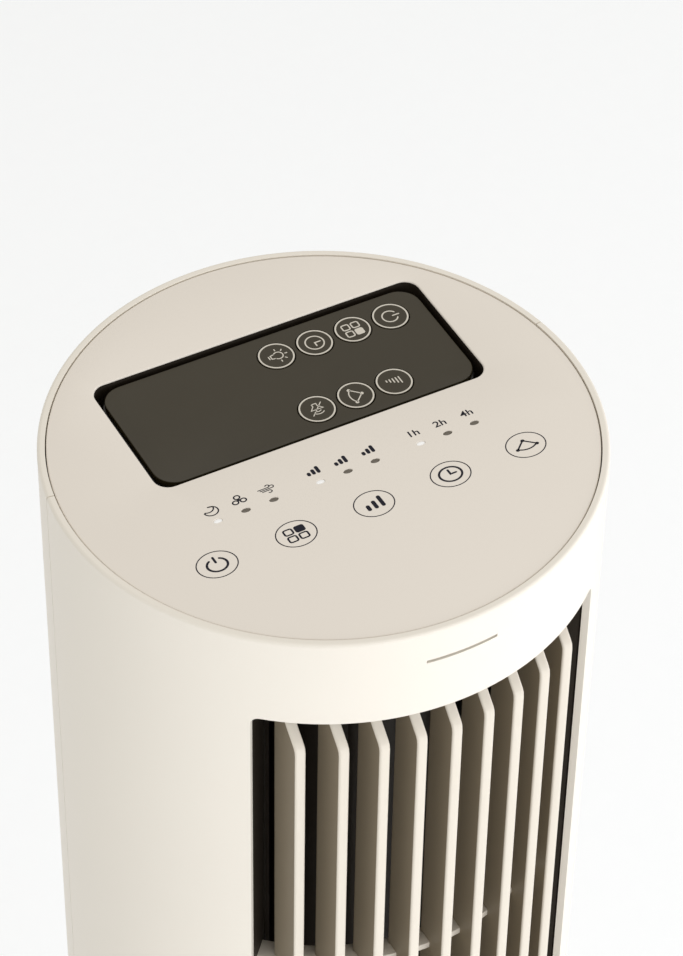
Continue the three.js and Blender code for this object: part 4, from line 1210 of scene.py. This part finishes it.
def sign_speed(pen, wide):
    for x, tall in ((-1.9, 2.5), (0, 3.5), (1.9, 4.7)):
        pen.line([(x, -2.2 + wide / 2), (x, -2.2 + tall - wide / 2)], wide)


def sign_timer(pen, wide):
    pen.ring(0, 0, 2.8, wide)
    pen.line([(0, 1.75), (0, 0), (1.45, 0)], wide)


def sign_swing(pen, wide):
    pen.line([(-0.35, 1.6), (-2.55, -0.75)], wide)
    pen.line([(0.35, 1.6), (2.55, -0.75)], wide)
    pen.arc(0, 1.9, 3.75, 145, 215, wide, 14)
    for x, y in ((0, 1.95), (-2.7, -0.95), (2.7, -0.95)):
        pen.dot(x, y, 0.55)


def sign_light(pen, wide):
    pen.arc(0, 0.6, 1.45, -140, 140, wide)
    pen.line([(-0.9, -0.55), (-0.7, -1.7), (0.7, -1.7), (0.9, -0.55)], wide)
    pen.line([(-0.55, -2.35), (0.55, -2.35)], wide)
    for turn in (-90, -45, 0, 45, 90):
        way = Vector((math.sin(math.radians(turn)), math.cos(math.radians(turn))))
        pen.line([(way.x * 2.2, 0.6 + way.y * 2.2), (way.x * 2.8, 0.6 + way.y * 2.8)], wide)


def sign_mute(pen, wide):
    horn = [(-2.3, -0.7), (-1.3, -0.7), (0.1, -1.9), (0.1, 1.9), (-1.3, 0.7), (-2.3, 0.7), (-2.3, -0.65)]
    pen.line(horn, wide)
    pen.arc(-0.2, 0, 1.3, 50, 130, wide, 8)
    pen.arc(-0.2, 0, 2.3, 50, 130, wide, 8)
    pen.line([(-2.2, 2.2), (2.2, -2.2)], wide)


def sign_steps(pen, wide):
    for step in range(5):
        pen.line([(-1.3, -2.0 + step), (-0.7 + 0.5 * step, -2.0 + step)], wide)


def sign_moon(pen, wide):
    outer = [(-0.2 + 1.75 * math.sin(math.radians(t)), -0.1 + 1.75 * math.cos(math.radians(t)))
             for t in range(70, 345, 15)]
    inner = [(0.9 + 1.55 * math.sin(math.radians(t)), 0.75 + 1.55 * math.cos(math.radians(t)))
             for t in range(292, 150, -12)]
    pen.line(outer, wide)
    pen.line([outer[-1], *inner, outer[0]], wide)


def sign_fan(pen, wide):
    for turn in (0, 120, 240):
        x, y = 1.15 * math.sin(math.radians(turn)), 1.15 * math.cos(math.radians(turn))
        pen.ring(x, y, 0.72, wide, 24)
    pen.dot(0, 0, 0.38)


def sign_wind(pen, wide):
    pen.line([(-2.0, 0.55), (0.6, 0.55)], wide)
    pen.arc(0.6, 1.05, 0.5, 180, -60, wide, 10)
    pen.line([(-1.6, 0), (1.5, 0)], wide)
    pen.arc(1.5, 0.5, 0.5, 180, -20, wide, 10)
    pen.line([(-1.2, -0.55), (0.5, -0.55)], wide)
    pen.arc(0.5, -1.05, 0.5, 0, 230, wide, 10)


def sign_bars(pen, wide):
    for x, tall in ((-1.25, 1.5), (0, 2.2), (1.25, 2.9)):
        pen.line([(x, -1.2 + wide / 2), (x, -1.2 + tall - wide / 2)], wide)


print("twelve signs ready")

# %% [markdown]
# ## Print the panel
# Five touch keys stand in a row, each a thin ring with a sign in it. Above every lamp stands a small
# sign for what it tells: three modes, three speeds and the hours of the timer. The rings are the same
# ring five times, so a recipe copies it along a line.

# %% Print the panel
TOUCH_PITCH = 21.3 * MM
TOUCH_Y = -26 * MM
RING_RADIUS = 5.15  # in millimetres, as a pen draws
copies = Recipe("copies_in_line", Count="count", Start="vector", Step="vector")
line_points = copies.node(
    "GeometryNodeMeshLine", {"mode": "OFFSET"},
    {"Count": copies.given("Count"), "Start Location": copies.given("Start"),
     "Offset": copies.given("Step")})
copies.end(copies.node(
    "GeometryNodeInstanceOnPoints", {}, {"Points": line_points, "Instance": copies.given("Geometry")}))

pen = Pen()
pen.ring(0, 0, RING_RADIUS, 0.30, 72)
ring = pen.print_at("ring", dark_ink, (0, 0), 0, PRINT_TURN, flat=PRINT_FLAT)
touch_rings = copies.make(
    "touch_rings", ring, dark_ink, Count=5, Start=(*on_panel(-2 * TOUCH_PITCH, TOUCH_Y), panel_high.z),
    Step=along_print(TOUCH_PITCH))
show("touch_rings", touch_rings, "column", "dark_gloss")
touch_signs = (
    ("power", sign_power, 0.56, 1.1), ("mode", sign_modes, 0.50, 0.98), ("speed", sign_speed, 1.05, 1.0),
    ("timer", sign_timer, 0.56, 1.05), ("swing", sign_swing, 0.46, 1.0))
for i, (name, sign, wide, size) in enumerate(touch_signs):
    pen = Pen()
    sign(pen, wide)
    mark = pen.print_at(
        f"touch_sign_{name}", dark_ink, on_panel((i - 2) * TOUCH_PITCH, TOUCH_Y), panel_high.z,
        PRINT_TURN, size, PRINT_FLAT)
    show(mark.name, mark, "column", "dark_gloss")
LABEL_Y = -9.4 * MM
lamp_signs = [("sleep", sign_moon, 0.34, 75), ("normal", sign_fan, 0.38, 0), ("breeze", sign_wind, 0.28, 0),
              ("low", sign_bars, 0.9, 0), ("middle", sign_bars, 0.9, 0), ("high", sign_bars, 0.9, 0)]
for (name, sign, wide, spin), x in zip(lamp_signs, lamp_columns):
    pen = Pen()
    sign(pen, wide)
    mark = pen.print_at(
        f"lamp_sign_{name}", dark_ink, on_panel(x, LABEL_Y), panel_high.z, PRINT_TURN, 1.05, PRINT_FLAT,
        math.radians(spin))
    show(mark.name, mark, "column", "dark_gloss")
for hours, x in zip((1, 2, 4), lamp_columns[6:]):
    letters = bpy.data.curves.new(f"timer_{hours}h", "FONT")
    letters.body = f"{hours}h"
    letters.size = 3.5 * MM
    letters.align_x = "CENTER"
    letters.align_y = "CENTER"
    letters.extrude = INK / 2
    letters.offset = 0.05 * MM
    mark = plain_mesh(f"timer_{hours}h", add_object(f"timer_{hours}h_text", letters))
    shape = Matrix.Rotation(PRINT_TURN, 4, "Z") @ Matrix.Diagonal((1, PRINT_FLAT, 1, 1))
    mark.transform(Matrix.Translation((*on_panel(x, LABEL_Y), panel_high.z + INK / 2)) @ shape)
    mark.materials.clear()
    mark.materials.append(dark_ink)
    show(f"timer_{hours}h", mark, "column", "dark_gloss")

# %% [markdown]
# ## Print the remote
# The remote's keys carry a light ring and a sign each, and each print rides on its own key, so it goes
# down when the key is pressed. The signs are turned a quarter, because the remote lies on its side.

# %% Print the remote
remote_signs = {
    "light": (sign_light, 0.34), "timer": (sign_timer, 0.42), "mode": (sign_modes, 0.42),
    "power": (sign_power, 0.42), "mute": (sign_mute, 0.3), "swing": (sign_swing, 0.36),
    "speed": (sign_steps, 0.4)}
for name, (sign, wide) in remote_signs.items():
    pen = Pen()
    sign(pen, wide)
    top = key_boxes[name][1].z
    mark = pen.print_at(f"key_{name}_sign", light_ink, key_spots[name], top - 0.07 * MM, -math.pi / 2, 0.86)
    show(mark.name, mark, f"key_{name}", "dark_gloss")
    pen = Pen()
    pen.ring(0, 0, key_radius / MM - 0.25, 0.42, 64)
    mark = pen.print_at(f"key_{name}_ring", light_ink, key_spots[name], top - 0.01 * MM)
    show(mark.name, mark, f"key_{name}", "dark_gloss")

# %% [markdown]
# ## Lamps
# Under each small hole in the panel a clear rod brings light up from the board, and a bar holds the
# three rods of a group. The end of a rod is a low lens. The first lamp of each group is on. A recipe
# puts the rod at even steps, once for the lamps that are on and once for each row of those that are
# off.

# %% Make the lamps
BAR_THICK = 1.3 * MM
BAR_CORNER = 0.8 * MM
lamp_low, lamp_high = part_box("light_guide_mode")
lens_height = lamp_high.z
rod = (lamp_high.z - lamp_low.z - BAR_THICK) / MM
form = Form()
rings = [form.loop(oval(0, 0, LAMP_RADIUS * share, 28), -fall * MM)
         for share, fall in ((0.3, 0.02), (0.6, 0.05), (0.85, 0.10), (0.97, 0.16), (1.0, 0.25), (1.0, rod))]
form.solid(*rings)
lens_mesh = form.data("lens", lamp_off, sharp=60)
form = Form()
for group in ("mode", "speed", "timer"):
    low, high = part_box(f"light_guide_{group}")
    outline = rounded(*centre((low, high))[:2], high.x - low.x, high.y - low.y, BAR_CORNER, steps=4)
    form.solid(form.loop(outline, low.z), form.loop(outline, low.z + BAR_THICK))
show("light_bars", form.data("light_bars", lamp_off), "column", "light_guide",
     "light_guide_mode", "light_guide_speed", "light_guide_timer")
lamp_rows = (("lamps_on", lamp_on), ("lamps_off_a", lamp_off), ("lamps_off_b", lamp_off))
for (name, material), spot in zip(lamp_rows, lamp_spots):
    lamps = copies.make(name, lens_mesh, material, sharp=60, Count=3, Start=(*spot, lens_height),
                        Step=along_print(GROUP_PITCH))
    show(name, lamps, "column", "light_guide")

# %% [markdown]
# ## Impeller
# Behind the louvre turns a tall drum of curved blades, closed by discs and braced by rings. One blade
# is a thin arc as tall as one bay. The recipe stands copies of it round a circle, turning each by its
# place in the count, and stacks the ring of blades once for each bay.

# %% Make the impeller
wheel_low, wheel_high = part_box("impeller")
wheel_x, wheel_y = centre((wheel_low, wheel_high))[:2]
WHEEL_RADIUS = (wheel_high.x - wheel_low.x) / 2
BLADES = 36
BAYS = 3
BLADE_DEEP = 8.5 * MM
BLADE_THICK = 0.9 * MM
BLADE_INSET = 0.8 * MM  # from the wheel's radius
BLADE_POINTS = 6
BLADE_LEAN = math.radians(12)
DISC = 2 * MM
STUB_BELOW = 3 * MM
STUB_ABOVE = 1 * MM
drum_low = wheel_low.z + STUB_BELOW
drum_high = wheel_high.z - STUB_ABOVE
bay = (drum_high - drum_low - DISC) / BAYS


def blade_mesh():
    """One blade beside the Z axis, curved forward, from the middle of one disc to the next."""
    form = Form()
    last = BLADE_POINTS - 1
    middle = []
    for i in range(BLADE_POINTS):
        share = i / last
        radius = WHEEL_RADIUS - BLADE_INSET - BLADE_DEEP * (1 - share)
        lean = BLADE_LEAN * share ** 2
        middle.append(Vector((radius * math.cos(lean), radius * math.sin(lean))))
    sides = []
    for i, point in enumerate(middle):
        way = (middle[min(last, i + 1)] - middle[max(0, i - 1)]).normalized()
        thick = BLADE_THICK * (0.55 if i in (0, last) else 1.0)
        across = Vector((-way.y, way.x)) * thick / 2
        sides.append((point + across, point - across))
    outline = [(*left,) for left, _ in sides] + [(*right,) for _, right in reversed(sides)]
    form.solid(*(form.loop(outline, height) for height in (DISC / 2, bay + DISC / 2)))
    return form.data("blade", black)


drum = Recipe("blade_drum", Blades="count", Bays="count", Bay="float", X="float", Y="float", Low="float")
ring_points = drum.node("GeometryNodeMeshCircle", {}, {"Vertices": drum.given("Blades"), "Radius": 1e-5})
turn = drum.node("GeometryNodeInputIndex") * (2 * math.pi) / drum.given("Blades")
blades = drum.node(
    "GeometryNodeInstanceOnPoints", {},
    {"Points": ring_points, "Instance": drum.given("Geometry"), "Rotation": drum.vector(0, 0, turn)})
solid_ring = drum.node("GeometryNodeRealizeInstances", {}, {"Geometry": blades})
floors = drum.node(
    "GeometryNodeMeshLine", {"mode": "OFFSET"},
    {"Count": drum.given("Bays"),
     "Start Location": drum.vector(drum.given("X"), drum.given("Y"), drum.given("Low")),
     "Offset": drum.vector(0, 0, drum.given("Bay"))})
drum.end(drum.node("GeometryNodeInstanceOnPoints", {}, {"Points": floors, "Instance": solid_ring}))
blade_set = drum.make(
    "impeller_blades", blade_mesh(), black, sharp=40, Blades=BLADES, Bays=BAYS, Bay=bay,
    X=wheel_x, Y=wheel_y, Low=drum_low)
show("impeller_blades", blade_set, "wheel", "black_plastic", "impeller")

# %% [markdown]
# ## Impeller discs
# A full disc with a hub closes the drum at each end, and an open ring braces the blades between the
# bays. All are turned shapes, so each is a profile lofted round: closed at its ends for a disc, and
# closed on itself for a ring.

# %% Make the discs and rings
HUB = 10 * MM
HUB_INTO_DRUM = (12 * MM, 10 * MM)  # at the lower and the upper end
DISC_SOFT = 0.4 * MM
RING_INNER = WHEEL_RADIUS - BLADE_DEEP - 1.8 * MM


def turned(form, profile):
    return [form.loop(circle(wheel_x, wheel_y, radius, 72), height) for radius, height in profile]


form = Form()
for number in range(BAYS + 1):
    low = drum_low + number * bay
    high = low + DISC
    brim = [(WHEEL_RADIUS - DISC_SOFT, low), (WHEEL_RADIUS, low + DISC_SOFT),
            (WHEEL_RADIUS, high - DISC_SOFT), (WHEEL_RADIUS - DISC_SOFT, high)]
    if number in (0, BAYS):
        hub_low = wheel_low.z if number == 0 else low - HUB_INTO_DRUM[1]
        hub_high = low + HUB_INTO_DRUM[0] if number == 0 else wheel_high.z
        form.solid(*turned(form, [
            (HUB - DISC_SOFT, hub_low), (HUB, hub_low + DISC_SOFT), (HUB, low), *brim, (HUB, high),
            (HUB, hub_high - DISC_SOFT), (HUB - DISC_SOFT, hub_high)]))
    else:
        loops = turned(form, [*brim, (RING_INNER, high), (RING_INNER, low)])
        form.loft(*loops, loops[0])
show("impeller_discs", form.data("impeller_discs", black, sharp=40), "wheel", "black_plastic")

# %% [markdown]
# ## Base
# The column stands on a shallow dished disc with a soft outer edge, moulded from the same cream
# plastic. It is a turned shape, so its profile is lofted round, and a hub in its middle carries the
# turning column. The mains cord leaves through a hole in its back edge, which is bored with a Boolean:
# one round hole through a curved wall is the case that a Boolean cuts cleanly.

# %% Make the base cover
base_low, base_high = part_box("base_shell")
BASE_RADIUS = base_high.x
BASE_TOP = column_low.z - 1.5 * MM
BASE_WALL = 2.5 * MM
EDGE_TOP = base_low.z + 13 * MM
EDGE_ROUND = 6 * MM
SHOULDER = column_radius + 8 * MM
CAP_LAP = 6 * MM  # how far the hub cap reaches past the hub
HUB_WALL = 6 * MM
HUB_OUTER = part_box("hub_cap")[1].x - CAP_LAP
HUB_INNER = HUB_OUTER - HUB_WALL
CORD_HOLE = 4 * MM
DRILL_REACH = 10 * MM  # to each side of the base's edge


def base_profile():
    foot = [(BASE_RADIUS - 0.5 * MM, base_low.z), (BASE_RADIUS, base_low.z + 0.5 * MM)]
    edge = [(BASE_RADIUS - inset, EDGE_TOP - drop) for drop, inset in quarter(EDGE_ROUND, 8)[:-1]]
    slope = []
    for i in range(12):
        share = i / 11
        radius = BASE_RADIUS - EDGE_ROUND + (SHOULDER - BASE_RADIUS + EDGE_ROUND) * share
        slope.append((radius, EDGE_TOP + (BASE_TOP - EDGE_TOP) * share))
    top = [(SHOULDER - 1.5 * MM, BASE_TOP), (HUB_OUTER, BASE_TOP), (HUB_OUTER, base_high.z),
           (HUB_INNER, base_high.z), (HUB_INNER, BASE_TOP - BASE_WALL)]
    under = [(SHOULDER, BASE_TOP - BASE_WALL), (BASE_RADIUS - EDGE_ROUND, EDGE_TOP - BASE_WALL),
             (BASE_RADIUS - BASE_WALL, EDGE_TOP - EDGE_ROUND), (BASE_RADIUS - BASE_WALL, base_low.z)]
    return foot + edge + slope + top + under


form = Form()
loops = [form.loop(circle(0, 0, radius, 180), height) for radius, height in base_profile()]
form.loft(*loops, loops[0])
blank = add_object("base_blank", form.data("base_cover", cream, sharp=38))
gland_height = centre(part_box("cord_gland"))[2]
form = Form()
form.solid(*(form.loop(circle(0, gland_height, CORD_HOLE, 48), depth)
             for depth in (-BASE_RADIUS - DRILL_REACH, -BASE_RADIUS + DRILL_REACH)))
drill_mesh = form.data("drill", cream)
drill_mesh.transform(Matrix.Rotation(math.pi / 2, 4, "X"))
drill = add_object("drill", drill_mesh)
boring = blank.modifiers.new("cord_hole", "BOOLEAN")
boring.operation = "DIFFERENCE"
boring.object = drill
bored = plain_mesh("base_cover", blank)
bpy.data.objects.remove(drill)
show("base_cover", bored, "base", "cream_plastic", "base_shell")

# %% [markdown]
# ## Rubber feet
# Four rubber feet carry the base. A foot is a turned shape: a low cup with a groove round its sole. It
# is made once, and a recipe stands copies of it in a circle round the column, which serves the screws
# too.

# %% Make the feet
around = Recipe("copies_round", Count="count", Radius="float", First="float", Height="float")
step = around.node("GeometryNodeInputIndex") * (2 * math.pi) / around.given("Count") + around.given("First")
spots = around.node("GeometryNodeMeshCircle", {}, {"Vertices": around.given("Count"), "Radius": 1.0})
placed = around.node(
    "GeometryNodeSetPosition", {},
    {"Geometry": spots, "Position": around.vector(
        around.given("Radius") * step.sine(), -(around.given("Radius") * step.cosine()),
        around.given("Height"))})
around.end(around.node(
    "GeometryNodeInstanceOnPoints", {},
    {"Points": placed, "Instance": around.given("Geometry"), "Rotation": around.vector(0, 0, step)}))



def from_axis(name):
    return math.hypot(*centre(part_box(name))[:2])


foot_low, foot_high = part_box("foot_1")
FOOT_RADIUS = (foot_high.x - foot_low.x) / 2
DIAGONAL = math.pi / 4
foot_profile = [  # shares of the radius, and heights in millimetres
    (0.30, 0.5), (0.34, 0.15), (0.40, 0), (0.62, 0), (0.66, 0.3), (0.72, 0.3), (0.76, 0), (0.93, 0),
    (0.98, 0.15), (1.0, 0.5), (1.0, 3.2)]
form = Form()
form.solid(*(form.loop(circle(0, 0, FOOT_RADIUS * share, 40), height * MM) for share, height in foot_profile))
feet = around.make(
    "rubber_feet", form.data("foot", rubber), rubber, sharp=50, Count=4, Radius=from_axis("foot_1"),
    First=DIAGONAL, Height=foot_low.z)
show("rubber_feet", feet, "base", "rubber", *(f"foot_{i}" for i in range(1, 5)))

# %% [markdown]
# ## Screws
# Four screws hold the base plate from below, and three hold the hub cap from above. A screw is a pan
# head on a plain shank, with a cross recess sunk in the head: the recess is an outline of its own, so
# the flat of the head is filled between it and the brim.

# %% Make the screws
SCREW_HEAD = 1.6 * MM  # its height


def cross(radius, slot):
    """A four-armed outline of twelve points, for a cross recess."""
    points = []
    for arm in range(4):
        turn = arm * math.pi / 2
        way, side = Vector((math.cos(turn), math.sin(turn))), Vector((-math.sin(turn), math.cos(turn)))
        for along, across in ((1, -1), (1, 1), (slot / radius, 1)):
            points.append(tuple(way * radius * along + side * slot * across))
    return points


def screw_mesh(name, up):
    """A pan head screw that points up from a head below it, or down from a head above it."""
    form = Form()
    head, shank, long = 2.8 * MM, 1.5 * MM, 9 * MM
    recess = [form.loop(cross(1.3 * MM, 0.35 * MM), -up * (SCREW_HEAD - depth)) for depth in (1.0 * MM, 0)]
    brim = [form.loop(circle(0, 0, radius, 36), -up * SCREW_HEAD * share)
            for radius, share in ((1.9 * MM, 1.0), (2.4 * MM, 0.9), (head, 0.5), (head, 0))]
    body = [form.loop(circle(0, 0, shank, 36), up * height) for height in (0, long - 0.5 * MM)]
    body.append(form.loop(circle(0, 0, shank * 0.6, 36), up * long))
    form.loft(*recess)
    form.fill(recess[0])
    form.fill(recess[1], brim[0])
    form.loft(*brim, *body)
    form.fill(body[-1])
    return form.data(name, steel)


base_screws = around.make(
    "base_screws", screw_mesh("screw", 1), steel, sharp=35, Count=4, Radius=from_axis("base_screw_1"),
    First=DIAGONAL, Height=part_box("base_screw_1")[0].z + SCREW_HEAD)
show("base_screws", base_screws, "base", "steel", *(f"base_screw_{i}" for i in range(1, 5)))
hub_screws = around.make(
    "hub_screws", screw_mesh("hub_screw", -1), steel, sharp=35, Count=3, Radius=from_axis("hub_screw_1"),
    First=0.0, Height=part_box("hub_screw_1")[1].z - SCREW_HEAD)
show("hub_screws", hub_screws, "base", "steel", *(f"hub_screw_{i}" for i in range(1, 4)))

# %% [markdown]
# ## Cord gland
# The gland is a soft rubber collar with a waist that snaps into the hole at the back, through which the
# cord would leave. It is lofted upright round its own axis and then laid on its side.

# %% Make the gland
gland_profile = [  # radii and depths in millimetres
    (2.4, 0), (3.2, 0), (3.5, 0.4), (3.5, 1.5), (3.3, 1.7), (3.3, 2.6), (3.5, 2.8), (3.5, 4.5), (2.4, 4.5)]
gland_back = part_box("cord_gland")[1].y
form = Form()
loops = [form.loop(circle(0, gland_height, radius * MM, 40), -gland_back + depth * MM)
         for radius, depth in gland_profile]
form.loft(*loops, loops[0])
gland = form.data("gland_collar", rubber)
gland.transform(Matrix.Rotation(math.pi / 2, 4, "X"))
show("gland_collar", gland, "base", "rubber", "cord_gland")

# %% [markdown]
# ## Floor and size
# The floor is one wide sheet of pale studio paper, just under the feet. Last, the box round everything
# that shows is printed beside the box round the solid parts.

# %% Lay the floor and print the sizes
paper = Finish("studio_paper", Specular_IOR_Level=0.1, Emission_Strength=0.18)
fibre = paper.noise(90, 3)
paper.colour(paper.blend(fibre, (0.905, 0.925, 0.950, 1), (0.925, 0.945, 0.970, 1)))
paper.rough(0.9 + (fibre - 0.5) * 0.05)
paper.plug(paper.shader.inputs["Emission Color"], paper.blend(fibre, (0.98, 0.99, 1, 1), (0.99, 1, 1, 1)))
REACH = 12
BELOW_FEET = 0.2 * MM
sheet = bmesh.new()
for x, y in ((-1, -1), (1, -1), (1, 1), (-1, 1)):
    sheet.verts.new((x * REACH, y * REACH, CAD_BOX[0].z - BELOW_FEET))
sheet.faces.new(sheet.verts[:])
floor_mesh = bpy.data.meshes.new("floor")
sheet.to_mesh(floor_mesh)
sheet.free()
floor_mesh.materials.append(paper.material)
add_object("floor", floor_mesh)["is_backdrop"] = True
shown_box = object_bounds()
for label, (low, high) in (("solid", CAD_BOX), ("shown", shown_box)):
    print(label, [round((b - a) / MM, 2) for a, b in zip(low, high)], "mm")
